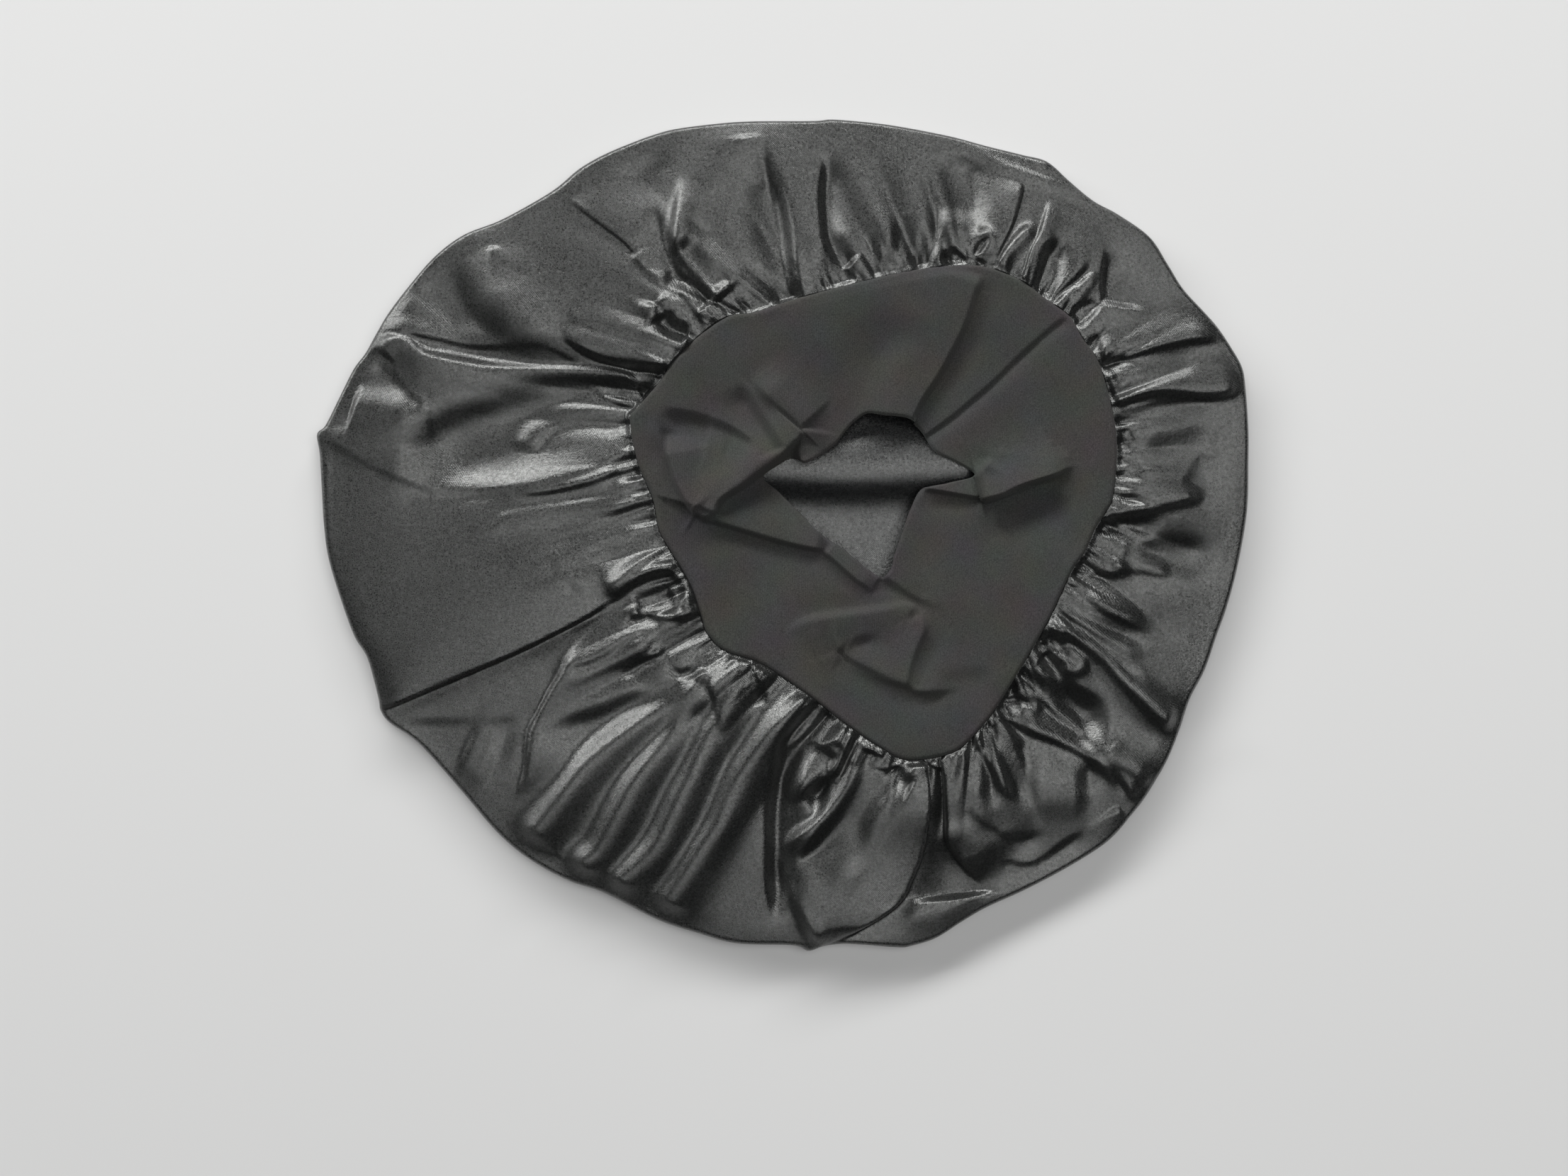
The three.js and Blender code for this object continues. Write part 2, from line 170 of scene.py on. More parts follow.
SEAM_PX = [
    (1571, 648), (1565, 703), (1555, 724), (1540, 749), (1526, 780), (1510, 802), (1495, 833), (1477, 872),
    (1459, 904), (1437, 941), (1410, 985), (1385, 1020), (1350, 1055), (1312, 1067), (1273, 1069), (1240, 1052),
    (1197, 1023), (1148, 985), (1100, 951), (1067, 932), (1023, 917), (999, 893), (990, 869), (975, 826),
    (951, 783), (932, 749), (923, 706), (903, 658), (894, 619), (891, 590), (898, 581), (932, 542), (951, 513),
    (990, 475), (1028, 450), (1066, 444), (1124, 425), (1200, 405), (1250, 393), (1303, 383), (1345, 379),
    (1389, 381), (1437, 400), (1471, 425), (1504, 449), (1523, 480), (1543, 509), (1557, 549), (1569, 605),
]
MOUTH_PX = [
    (1374, 671), (1336, 682), (1300, 690), (1283, 720), (1273, 749), (1261, 783), (1256, 802), (1242, 814),
    (1216, 797), (1187, 773), (1158, 754), (1129, 725), (1100, 696), (1076, 672), (1100, 655), (1120, 648),
    (1136, 655), (1158, 643), (1177, 629), (1192, 610), (1206, 595), (1223, 585), (1245, 588), (1278, 593),
    (1300, 612), (1317, 638), (1346, 653),
]
CLOSING_SEAM_PX = [(1501, 450), (1475, 470), (1437, 504), (1398, 542), (1370, 566), (1341, 590), (1302, 617)]


# The name of a stroke only tells which fold of the photograph it is.
def fold(name, rise, gentle, steep, side, points, ends=(0.2, 0.25), power=1.6):
    """A ridge with a steep flank towards side, a compass word in the picture, and a gentle one on the other.
    Where rise is negative, a step: its dark wall lies along the points, the high ground on its side, and the low
    ground comes back up gently. ends are the shares of its length over which it fades in and out."""
    form = RIDGE if rise > 0 else STEP
    if form is STEP:
        side = AWAY_FROM_KEY.get(side, side)
    return dict(rise=rise * form["rise"], gentle=gentle * form["gentle"], steep=steep * form["steep"], side=side,
                points=points, ends=ends, power=power, crest=form["crest"], lip=0)


def swell(name, rise, gentle, steep, side, points, ends=(0.25, 0.25)):
    """A soft, rounded ridge or hollow."""
    return dict(rise=rise, gentle=gentle, steep=steep, side=side, points=points, ends=ends, power=2, crest=2, lip=0)


def gully(name, depth, width, side, points, ends=(0.25, 0.25)):
    """A narrow valley with two dark walls."""
    return dict(rise=-depth, gentle=width, steep=width, side=side, points=points, ends=ends, power=1.4, crest=0.5,
                lip=0)


def flap(name, rise, reach, side, points, ends=(0.12, 0.12), lip=1.3, overhang=1.2, hollow=0.22):
    """The edge of an upper layer that lies over the layer on its side, with a steep lip."""
    return dict(rise=rise * FLAP_RISE, reach=reach, side=side, points=points, ends=ends, lip=lip,
                overhang=overhang, hollow=hollow * FLAP_HOLLOW)


# Folds of the satin, walked round the bonnet from its upper left. Rises and widths are in mm.
UPPER_LEFT_FOLDS = [
    flap("top panel over left panel", 1.1, 12, "sw",
         [(783, 273), (815, 292), (850, 318), (885, 345), (905, 370), (925, 395)], (0.3, 0.1)),
    fold("soft ridge beside the overlap", 1.6, 3, 2, "sw", [(895, 355), (935, 395), (952, 402)]),
    fold("small crease on the top panel", -0.4, 2, 1.6, "s", [(883, 293), (900, 296), (914, 306)]),
    swell("broad valley, upper left", -1.8, 8, 6, "e", [(905, 205), (915, 250), (925, 300), (935, 345)],
         (0.3, 0.65)),
    fold("deep crease to the knot", -3.2, 2.6, 1.6, "e",
         [(930, 270), (938, 320), (945, 350), (960, 385), (985, 405), (1010, 430)], (0.4, 0.05)),
    fold("bright ridge beside the knot", 3.4, 3.6, 2, "w",
         [(969, 223), (961, 296), (958, 340), (969, 369), (998, 402), (1020, 428)], (0.4, 0.05)),
    fold("wedge beside the ridge", -3.8, 2.4, 2.4, "s", [(968, 335), (992, 370), (1020, 394), (1038, 412)]),
    fold("knot pocket rim", 2.2, 2.6, 1.5, "e", [(925, 425), (922, 452), (935, 478), (955, 489), (978, 482)],
         (0.15, 0.1)),
    fold("knot pocket upper rim", 1.4, 2.2, 1.2, "s", [(928, 424), (945, 440), (962, 446)]),
    fold("knot pocket hollow", -4.2, 2.4, 2.4, "s", [(942, 440), (955, 458), (978, 468)], (0.2, 0.2)),
    fold("knot flap", 1.6, 2.6, 1.3, "sw", [(955, 400), (985, 440), (1000, 465)], (0.25, 0)),
    flap("soft side of the bulging panel", 7.0, 19, "sw",
         [(640, 330), (648, 380), (663, 435), (695, 482), (740, 506), (790, 515), (830, 520)], (0.45, 0.3), 13, 0, 0),
    flap("bulging panel edge", 4.0, 16, "sw", [(765, 464), (800, 485), (850, 510), (900, 522), (940, 522)],
         (0.35, 0), 2.2, 1.0, 0.2),
    fold("thin ridge on the panel edge", 1.2, 1.6, 1.2, "w", [(697, 345), (697, 372), (700, 398)]),
    swell("valley beside the bulging panel", -3.8, 14, 9, "sw",
          [(600, 345), (612, 385), (640, 438), (690, 500), (750, 528), (820, 538), (885, 545)], (0.35, 0)),
    fold("fold edge line", 2.0, 4.5, 1.2, "s",
         [(530, 466), (575, 468), (620, 475), (660, 484), (700, 486), (755, 486), (790, 495), (815, 508),
          (837, 520)], (0.05, 0.2)),
    fold("streak by the fold edge", 1.4, 3.4, 3, "ne", [(565, 415), (600, 440), (645, 474)]),
    fold("rolled ridge", 3.0, 1.1, 6.5, "s",
         [(527, 503), (535, 488), (555, 481), (575, 485), (600, 505), (640, 514), (700, 523), (760, 526),
          (820, 528), (870, 531), (885, 535), (897, 547)], (0.06, 0)),
    fold("slanting crease", -1.0, 2.2, 1.2, "sw", [(530, 505), (560, 535), (590, 565), (608, 579)]),
    swell("bright corner", 2.2, 8, 6, "n", [(495, 575), (550, 590), (600, 580)], (0.1, 0.3)),
    fold("lit strip below the crease", 1.6, 3.6, 6, "s",
         [(555, 592), (600, 582), (650, 572), (702, 563), (740, 554)], (0.1, 0.3)),
    fold("thin ridge at the seam", 1.8, 1.6, 1.2, "s", [(835, 545), (860, 560), (885, 570), (898, 577)],
         (0.2, 0)),
    fold("tongue", 2.0, 2.6, 3.4, "s", [(744, 642), (751, 617), (770, 598), (800, 587), (850, 586), (893, 600)],
         (0.1, 0), 2),
    fold("ridge in the loop", 0.7, 3, 4, "s", [(752, 640), (780, 625), (820, 618), (860, 614), (890, 612)],
         (0.2, 0), 2),
    fold("loop crease", -2.4, 2, 1.6, "n", [(802, 590), (850, 597), (885, 608)], (0.3, 0)),
    fold("dark patch in the loop", -2.6, 3.4, 3, "n", [(800, 630), (840, 628), (882, 616)], (0.3, 0.1)),
    fold("long ridge from the left tip", 1.5, 5.0, 2.0, "s",
         [(443, 612), (480, 625), (530, 652), (580, 675), (620, 688), (660, 690), (720, 685), (780, 675),
          (830, 660), (870, 645), (899, 634)], (0.1, 0), 1.5),
    fold("shadow under the long ridge", -3.2, 7, 4, "n",
         [(600, 705), (660, 702), (720, 698), (790, 692), (850, 678), (900, 655)], (0.35, 0), 1.8),
    swell("dark hollow above the long ridge", -8.0, 12, 22, "s",
          [(560, 640), (610, 645), (650, 632), (690, 612), (740, 592), (790, 574), (840, 565), (885, 560)], (0.3, 0)),
    fold("second line under the ridge", 1.3, 2, 1, "s", [(700, 692), (760, 693), (830, 678), (880, 660)],
         (0.3, 0.1)),
    fold("rising fold to the seam", 1.5, 6, 3.2, "n",
         [(645, 760), (700, 750), (718, 733), (748, 727), (795, 719), (850, 707), (912, 688)], (0.2, 0)),
    fold("narrow crease to the seam", -1.9, 2.2, 1.4, "n", [(765, 730), (850, 722), (915, 712)], (0.3, 0)),
    fold("dark wedge to the seam", -2.8, 4.5, 2.4, "s", [(815, 785), (860, 758), (890, 746), (928, 735)],
         (0.35, 0)),
    swell("soft dimple", -0.9, 4, 3, "n", [(765, 797), (775, 790), (785, 783)], (0.3, 0.3)),
    swell("faint dimple", -0.7, 3, 3, "n", [(800, 835), (812, 820)], (0.3, 0.3)),
    fold("strip along the left edge", 0.9, 2, 1.2, "e", [(462, 625), (461, 700), (466, 760), (482, 800)]),
    fold("loop rim", 3.4, 2.4, 1.8, "s",
         [(857, 850), (885, 822), (915, 803), (940, 800), (960, 810), (973, 828), (972, 845), (956, 864)],
         (0.15, 0.1)),
    fold("loop hollow", -3.6, 3, 3, "n", [(893, 846), (930, 834), (952, 828)], (0.2, 0.2)),
    flap("flat panel over the lower left", 2.9, 36, "s",
         [(531, 1004), (600, 975), (700, 932), (760, 905), (850, 858), (885, 832)], (0.04, 0.2), 0.9, 1.2, 0.35),
]
LOWER_LEFT_FOLDS = [
    fold("soft valley, flat triangle", -1.3, 4, 2, "s", [(555, 1012), (600, 1018), (700, 1015), (755, 1010)]),
    fold("notch crease", -0.9, 2.4, 1.4, "s", [(585, 1052), (602, 1047), (622, 1047)], (0.1, 0.4)),
    fold("upper packing crease", 0.5, 1, 0.6, "s", [(500, 905), (560, 918), (600, 933), (690, 950)]),
    fold("lower packing crease", 0.5, 1, 0.6, "s", [(505, 915), (560, 930), (595, 944), (660, 962)]),
    fold("upright packing crease", 0.5, 2, 0.9, "w", [(530, 908), (531, 950), (530, 990)]),
    fold("faint packing crease", 0.35, 1, 0.8, "s", [(470, 757), (560, 765), (650, 742)]),
    flap("puffed panel edge", 3.6, 22, "w",
         [(850, 868), (815, 905), (800, 938), (780, 972), (762, 1005), (750, 1030), (745, 1080), (735, 1110),
          (722, 1145)], (0.3, 0.3), 1.4, 1.0, 0.2),
    fold("dark line into the panel", -1.6, 1.6, 1.2, "s", [(797, 944), (850, 925), (900, 890), (937, 868)]),
    fold("pleat below the loop", 1.8, 2, 1, "s", [(880, 866), (905, 862), (945, 868), (978, 862)], (0.2, 0.05)),
    fold("crease below the loop", -1.8, 1.6, 1.2, "s", [(884, 870), (910, 872), (935, 876)]),
    fold("pocket rim", 3.0, 3, 1.6, "n", [(925, 900), (933, 935), (948, 956), (975, 960), (1002, 946)],
         (0.25, 0.05)),
    fold("pocket hollow", -2.8, 2.6, 1.8, "s", [(937, 915), (945, 938), (962, 947), (985, 938)]),
    fold("broad ridge, lower left", 3.0, 6.5, 4, "s", [(780, 968), (850, 935), (910, 912), (935, 905)],
         (0.3, 0.2), 1.7),
    fold("curved valley, lower left", -3.0, 6, 3, "n",
         [(752, 1028), (800, 1012), (850, 1000), (880, 988), (930, 978), (1005, 960)], (0.3, 0.02), 1.6),
    fold("first slanting ridge", 4.9, 4.6, 5.6, "nw",
         [(740, 1200), (752, 1178), (773, 1156), (810, 1105), (832, 1076), (868, 1046), (916, 1014),
          (971, 984), (1000, 966)], (0.12, 0.05)),
    fold("second slanting ridge", 4.9, 4.6, 5.6, "nw",
         [(798, 1238), (825, 1216), (850, 1198), (875, 1150), (900, 1100), (930, 1060), (965, 1015),
          (973, 995), (996, 981), (1021, 960), (1038, 946), (1062, 941)], (0.1, 0), 1.6),
    fold("fork of the second ridge", -1.0, 1.6, 1, "w", [(975, 1003), (979, 1020), (981, 1040)]),
    fold("third slanting ridge", 4.9, 4.6, 5.6, "nw",
         [(850, 1262), (880, 1238), (918, 1208), (938, 1180), (960, 1130), (978, 1092), (998, 1045),
          (1023, 1002), (1040, 967), (1062, 950)], (0.1, 0), 1.6),
    fold("fourth slanting ridge", 4.9, 4.6, 5.6, "w",
         [(1146, 986), (1119, 1002), (1091, 1030), (1063, 1069), (1045, 1097), (1031, 1126), (1013, 1168),
          (985, 1210), (955, 1255), (925, 1292)], (0, 0.1), 1.6),
]
TOP_FOLDS = [
    fold("broad valley, top", -6.4, 4.6, 2.2, "e",
         [(1072, 183), (1082, 222), (1091, 253), (1102, 289), (1109, 327), (1114, 370), (1123, 409),
          (1131, 425)], (0.35, 0), 1.6),
    fold("left brow of the valley", 1.6, 4.5, 2.2, "e", [(1060, 180), (1064, 211), (1072, 250), (1078, 280)]),
    fold("bulge arc", 1.3, 8, 5, "s",
         [(946, 352), (955, 318), (966, 297), (996, 264), (1036, 252), (1054, 271), (1068, 300)], (0.5, 0.2), 1.8),
    fold("narrow valley", -3.8, 2.4, 1.4, "e",
         [(1059, 282), (1073, 310), (1089, 338), (1102, 363), (1118, 394)], (0.5, 0.1)),
    fold("tall ridge, top", 0.7, 4.4, 2.6, "w",
         [(1105, 178), (1110, 236), (1120, 278), (1131, 324), (1133, 345), (1129, 361.8), (1127, 408)],
         (0.2, 0), 3),
    fold("slit valley", -3.4, 2.4, 1.4, "w",
         [(1161, 205), (1161, 246), (1159, 282), (1161, 317), (1164, 345), (1177, 370), (1192, 388)],
         (0.3, 0.05)),
    fold("deep thin crease", -2.8, 1.8, 1.1, "e", [(1177, 335), (1184, 356), (1191, 377), (1202, 404)],
         (0.3, 0)),
    fold("short crease", -1.3, 1.8, 1.4, "e", [(1237, 325), (1235, 356), (1240, 392)], (0.5, 0)),
    fold("soft crease", -1.8, 3, 2, "w", [(1268, 305), (1260, 342), (1251, 370), (1247, 392)], (0.5, 0)),
    fold("crease by the puckered line", -1.5, 1.8, 1.4, "w", [(1298, 315), (1292, 342), (1286, 383)],
         (0.4, 0)),
    fold("puckered line", -1.6, 1.4, 0.9, "e",
         [(1318, 210), (1311, 246), (1318, 278), (1325, 299), (1321, 342), (1309, 382)], (0.5, 0)),
    fold("rim of the puckered line", 0.6, 1.5, 0.9, "w",
         [(1326, 212), (1321, 246), (1328, 278), (1335, 299), (1331, 342), (1320, 376)], (0.5, 0)),
    swell("soft valley, top right", -2.2, 7, 5, "e", [(1354, 210), (1355, 253), (1359, 289), (1354, 328)],
         (0.3, 0.3)),
    fold("pocket at the seam, top", -2.8, 2.6, 1.8, "n", [(1346, 352), (1336, 362), (1322, 376)]),
    fold("small loop rim", 2.6, 1.6, 1.2, "s",
         [(1362, 379), (1370, 356), (1380, 340), (1391, 337), (1392, 350), (1374, 374)], (0.5, 0.1)),
    flap("short edge, top right", 1.7, 10, "e", [(1446, 248), (1434, 289), (1423, 324), (1408, 356), (1398, 384)],
         (0.25, 0.05)),
    flap("panel edge, top right", 2.0, 20, "w",
         [(1487, 258), (1476, 289), (1466, 327), (1452, 356), (1442, 392)], (0.5, 0), 1.3, 1.0),
    fold("ridge inside the edge", 2.2, 2, 1.4, "w", [(1407, 375), (1422, 356), (1440, 335), (1462, 320)],
         (0, 0.3)),
    fold("rim line, top right", 1.1, 1.6, 1.0, "n",
         [(1300, 196), (1331, 201), (1355, 211), (1380, 217), (1419, 238), (1446, 247), (1486, 261),
          (1535, 281), (1575, 301)], (0.5, 0.15)),
    fold("bump on the rim", 2.0, 3.4, 2.2, "s", [(1448, 238), (1465, 230), (1482, 236)], (0.5, 0.2), 1.8),
]
RIGHT_FOLDS = [
    fold("lens beside the seam", -3.2, 3.6, 2, "w", [(1500, 338), (1472, 356), (1462, 379), (1452, 403)],
         (0.3, 0)),
    fold("crease, upper right", -2.2, 2.4, 1.3, "s", [(1540, 370), (1522, 389), (1503, 405), (1474, 430)],
         (0.35, 0)),
    fold("ridge beside it", 2.2, 3, 1.6, "nw", [(1552, 380), (1530, 400), (1508, 417), (1484, 436)], (0.35, 0)),
    swell("soft pool", -2.2, 8, 6, "s", [(1545, 402), (1572, 408), (1570, 440)], (0.25, 0.25)),
    fold("curved crease", -1.6, 2.2, 1.4, "n", [(1500, 442), (1519, 431), (1538, 428), (1555, 438)]),
    fold("fold edge, right", 2.5, 5, 1.3, "s",
         [(1546, 510), (1579, 504), (1599, 498), (1631, 488), (1672, 479), (1711, 476), (1738, 486)],
         (0.05, 0.25)),
    fold("shadow below it", -1.6, 4, 2, "n", [(1556, 522), (1600, 510), (1640, 500), (1700, 490)], (0.1, 0.3)),
    fold("thin line, right", 0.9, 2, 0.8, "s",
         [(1621, 540), (1640, 527), (1672, 521), (1701, 517), (1733, 519), (1754, 523)]),
    fold("short line at the seam", -0.9, 1.8, 1.2, "n", [(1556, 546), (1579, 540), (1606, 536)], (0, 0.4)),
    fold("ridge, right", 2.8, 4.5, 1.4, "s",
         [(1565, 570), (1599, 556), (1631, 551), (1672, 553), (1704, 556), (1737, 550), (1760, 546)],
         (0.05, 0.15)),
    fold("line under the ridge", -1.5, 2.4, 1.4, "n", [(1566, 583), (1599, 578), (1631, 569), (1672, 563),
                                                       (1735, 558)], (0, 0.3)),
    fold("spot at the seam", -1.4, 1.8, 1.6, "n", [(1569, 622), (1582, 606), (1596, 600)], (0, 0.4)),
    fold("soft band, right", -1.5, 5, 3.4, "n", [(1606, 620), (1640, 617), (1674, 611), (1704, 586)],
         (0.3, 0.3), 1.8),
    swell("soft slope, right", -1.8, 6, 4, "w", [(1706, 628), (1698, 658), (1685, 684), (1668, 703)],
         (0.3, 0.3)),
    fold("seam crease 1", -1.4, 2, 1.2, "n", [(1568, 668), (1590, 662), (1615, 664)], (0, 0.5)),
    fold("seam crease 2", -1.4, 2, 1.2, "n", [(1566, 708), (1593, 698), (1615, 694)], (0, 0.5)),
    fold("long ridge, right", 2.2, 4.5, 1.6, "s",
         [(1553, 727), (1597, 717), (1632, 712), (1667, 703), (1716, 692)], (0, 0.3)),
    fold("lens, right", -2.6, 3.4, 2, "n", [(1542, 742), (1562, 735), (1597, 731), (1645, 733)], (0, 0.4)),
    fold("small lens, right", -1.8, 2.6, 2, "n", [(1540, 764), (1560, 759), (1592, 756)], (0, 0.4)),
    swell("wide soft valley", -2.4, 7, 5, "n", [(1562, 796), (1597, 793), (1632, 786), (1685, 786), (1722, 789)],
         (0.2, 0.3)),
    fold("crease above it", -1.3, 2, 1.2, "n", [(1524, 785), (1545, 777), (1572, 772)], (0, 0.5)),
    fold("fan line 1", -1.6, 1.8, 1.1, "n", [(1511, 803), (1544, 809), (1579, 812), (1604, 819), (1641, 838)],
         (0, 0.5)),
    fold("fan line 2", 1.2, 2, 1.1, "s", [(1560, 800), (1600, 802), (1655, 810)]),
    fold("fan line 3", -1.4, 1.6, 1.1, "n", [(1500, 823), (1526, 826), (1552, 834)], (0, 0.5)),
    fold("fan line 4", -1.4, 1.5, 1.1, "n", [(1497, 832), (1526, 844), (1547, 855), (1572, 863)], (0, 0.5)),
    fold("fan ridge", 2.2, 2.6, 1.4, "s",
         [(1498, 836), (1526, 851), (1547, 858), (1579, 869), (1628, 893)], (0, 0.35)),
    fold("fan valley", -2.5, 2.6, 1.8, "n",
         [(1488, 843), (1512, 854), (1537, 867), (1569, 881), (1597, 892), (1628, 906)], (0, 0.35)),
    fold("second fan ridge", 3.0, 3, 1.8, "s",
         [(1480, 866), (1512, 871), (1547, 893), (1576, 911), (1597, 929), (1612, 948)], (0, 0.3)),
    fold("second fan valley", -2.6, 2.6, 1.8, "n",
         [(1482, 858), (1505, 864), (1533, 886), (1562, 911), (1583, 932), (1604, 953), (1620, 982)],
         (0, 0.35)),
    fold("main slanting ridge", 4.4, 3.7, 2.4, "sw",
         [(1470, 880), (1502, 888), (1526, 902), (1555, 926), (1579, 954), (1604, 979), (1625, 1000),
          (1650, 1021), (1664, 1034)], (0, 0.12)),
    fold("deep crease under it", -1.0, 3.2, 1.6, "ne",
         [(1478, 896), (1502, 900), (1526, 918), (1547, 945), (1565, 969), (1580, 991), (1604, 1015),
          (1632, 1036), (1655, 1053)], (0, 0.2)),
    fold("pocket ridge loop", 1.5, 2, 1.5, "s",
         [(1456, 909), (1473, 919), (1498, 940), (1517, 943), (1524, 931), (1509, 918), (1490, 911)],
         (0.1, 0.2)),
    fold("pocket in the loop", -2.4, 2, 1.5, "n", [(1472, 914), (1491, 929), (1504, 932)]),
    fold("big dark valley", -6.5, 7, 4.5, "n",
         [(1428, 952), (1456, 962), (1491, 970), (1526, 984), (1552, 992), (1578, 1000)], (0, 0.3), 1.8),
    fold("crumpled ridge", 3.0, 3.2, 2, "sw",
         [(1549, 1046), (1569, 1070), (1593, 1084), (1606, 1095), (1625, 1110)], (0.2, 0.15)),
    fold("long fold line", 2.4, 2.4, 1.2, "sw",
         [(1418, 964), (1442, 978), (1470, 985), (1491, 1006), (1516, 1024), (1547, 1052), (1569, 1080),
          (1590, 1105), (1598, 1122), (1608, 1138)], (0.05, 0.1)),
    fold("second long ridge", 3.2, 3.4, 1.6, "s",
         [(1400, 1002), (1435, 1017), (1456, 1027), (1491, 1041), (1526, 1059), (1555, 1077), (1577, 1112)],
         (0, 0.2)),
    fold("shadow under it", -2.4, 3, 1.8, "n", [(1470, 1046), (1498, 1057), (1526, 1074), (1560, 1098)],
         (0.3, 0.3)),
    swell("glossy bump", 0.6, 5, 3, "s", [(1462, 1000), (1480, 1012), (1494, 1030)], (0.3, 0.3)),
    fold("small seam loop", 2.2, 1.6, 1.1, "s",
         [(1412, 984), (1430, 978), (1446, 983), (1458, 992), (1453, 1000), (1432, 996)], (0.1, 0.1)),
    fold("black pocket", -3.2, 2.4, 1.6, "n", [(1405, 1010), (1421, 1027), (1437, 1043), (1450, 1048)],
         (0.1, 0.3)),
    fold("ridge by the pocket", 2.6, 2, 1.3, "e", [(1394, 1010), (1413, 1024), (1435, 1048), (1447, 1058)],
         (0, 0.3)),
    fold("downward ridge", 3.2, 2.6, 1.8, "w",
         [(1372, 1034), (1389, 1063), (1403, 1087), (1414, 1109), (1430, 1134)], (0, 0.3)),
    fold("valley left of it", -2.4, 2.2, 1.5, "e", [(1375, 1040), (1386, 1060), (1399, 1087), (1407, 1145)],
         (0, 0.4)),
    fold("valley right of it", -2.2, 2.2, 1.6, "w", [(1388, 1030), (1406, 1073), (1424, 1112), (1444, 1148)],
         (0, 0.4)),
    fold("dark to its left", -2.2, 2.6, 1.8, "w", [(1374, 1048), (1366, 1075), (1363, 1095), (1355, 1116)],
         (0, 0.4)),
    fold("smile crease", -1.8, 3, 1.6, "s",
         [(1352, 1117), (1371, 1144), (1396, 1165), (1421, 1177), (1449, 1177), (1480, 1166)]),
    fold("lower crease", -1.8, 3.4, 1.6, "s",
         [(1388, 1214), (1422, 1212), (1444, 1217), (1461, 1214), (1500, 1189), (1519, 1175), (1536, 1161)]),
    swell("broad swell, lower right", 2.4, 12, 8, "s", [(1440, 1120), (1500, 1110), (1540, 1110)],
         (0.3, 0.3)),
    flap("light step, lower right", 1.4, 8, "e", [(1572, 1133), (1584, 1150), (1596, 1156)], (0.3, 0.3)),
]
BOTTOM_FOLDS = [
    fold("deep valley, bottom", -6.5, 3, 1.8, "w",
         [(1150, 990), (1137, 1003), (1116, 1022), (1102, 1043), (1096, 1076), (1090, 1112), (1087, 1147),
          (1086, 1200), (1086, 1235), (1089, 1270), (1088, 1305)], (0, 0.2)),
    fold("bottom ridge, left", 4.2, 4.4, 2.6, "se",
         [(1200, 1028), (1183, 1062), (1169, 1083), (1133, 1108), (1103, 1131)], (0, 0.3)),
    fold("black pocket, bottom", -6.0, 3, 2, "e", [(1185, 1050), (1174, 1083), (1168, 1112), (1155, 1136),
                                                    (1145, 1150)], (0.2, 0.3)),
    fold("long bottom ridge", 4.2, 4, 2.4, "w",
         [(1214, 1036), (1207, 1066), (1197, 1101), (1176, 1136), (1147, 1164), (1119, 1186), (1093, 1212)],
         (0, 0.3)),
    fold("valley right of it", -3.4, 3, 2.4, "w",
         [(1218, 1048), (1206, 1087), (1194, 1112), (1170, 1154), (1148, 1182), (1120, 1209), (1096, 1232)],
         (0.05, 0.3)),
    fold("soft dark, bottom", -2.8, 5, 3, "e",
         [(1256, 1078), (1249, 1112), (1232, 1140), (1223, 1161), (1220, 1210), (1223, 1235)], (0.05, 0.4), 1.7),
    swell("bulge, bottom", 3.6, 10, 7, "s", [(1150, 1270), (1190, 1240), (1255, 1150), (1275, 1100)],
         (0.3, 0.2)),
    flap("big bulge over the lower layer", 6.4, 26, "e",
         [(1300, 1066), (1304, 1112), (1303, 1150), (1296, 1200), (1281, 1239), (1267, 1267), (1239, 1291),
          (1197, 1316), (1162, 1334), (1140, 1344)], (0, 0.06), 1.5, 2.2, 0.3),
    fold("black valley, bottom", -4.2, 3.6, 2.6, "w",
         [(1313, 1068), (1319, 1087), (1318, 1129), (1314, 1175), (1304, 1205)], (0, 0.45), 1.7),
    flap("right panel edge, bottom", 5.0, 20, "w",
         [(1326, 1064), (1331, 1090), (1333, 1119), (1335, 1154), (1336, 1182), (1346, 1202), (1366, 1228),
          (1388, 1252)], (0, 0.25), 1.4, 1.6, 0.3),
    gully("hollow, bottom", 7.0, 12, "e", [(1317, 1135), (1320, 1160), (1328, 1200), (1342, 1240), (1346, 1268)],
          (0.9, 0.06)),
    fold("thin crease, bottom", -1.0, 1.6, 1.1, "s", [(1345, 1203), (1370, 1234), (1388, 1254)]),
    fold("lower layer crest", 1.0, 4, 3, "n", [(1268, 1290), (1310, 1290), (1350, 1278), (1390, 1262)],
         (0.2, 0.3), 1.7),
    fold("knot, bottom", -3.0, 2, 1.8, "n", [(1264, 1074), (1274, 1090), (1288, 1097)], (0.1, 0.2)),
    fold("knot rim, bottom", 2.4, 1.8, 1.4, "n", [(1262, 1084), (1274, 1102), (1292, 1104)], (0.1, 0.2)),
    fold("arch, bottom", 2.4, 2, 1.3, "s", [(1327, 1085), (1334, 1066), (1350, 1056)], (0.1, 0)),
    fold("dark notch, bottom", -2.4, 2.2, 1.6, "e", [(1072, 962), (1078, 978), (1082, 996)], (0, 0.4)),
    fold("dark U, bottom", -2.6, 2.2, 1.6, "s", [(1132, 1038), (1150, 1047), (1170, 1046), (1186, 1038)]),
    swell("swell in the lower left", 1.4, 12, 9, "s", [(650, 1060), (700, 1080)], (0.3, 0.3)),
]
SATIN_FOLDS = UPPER_LEFT_FOLDS + LOWER_LEFT_FOLDS + TOP_FOLDS + RIGHT_FOLDS + BOTTOM_FOLDS

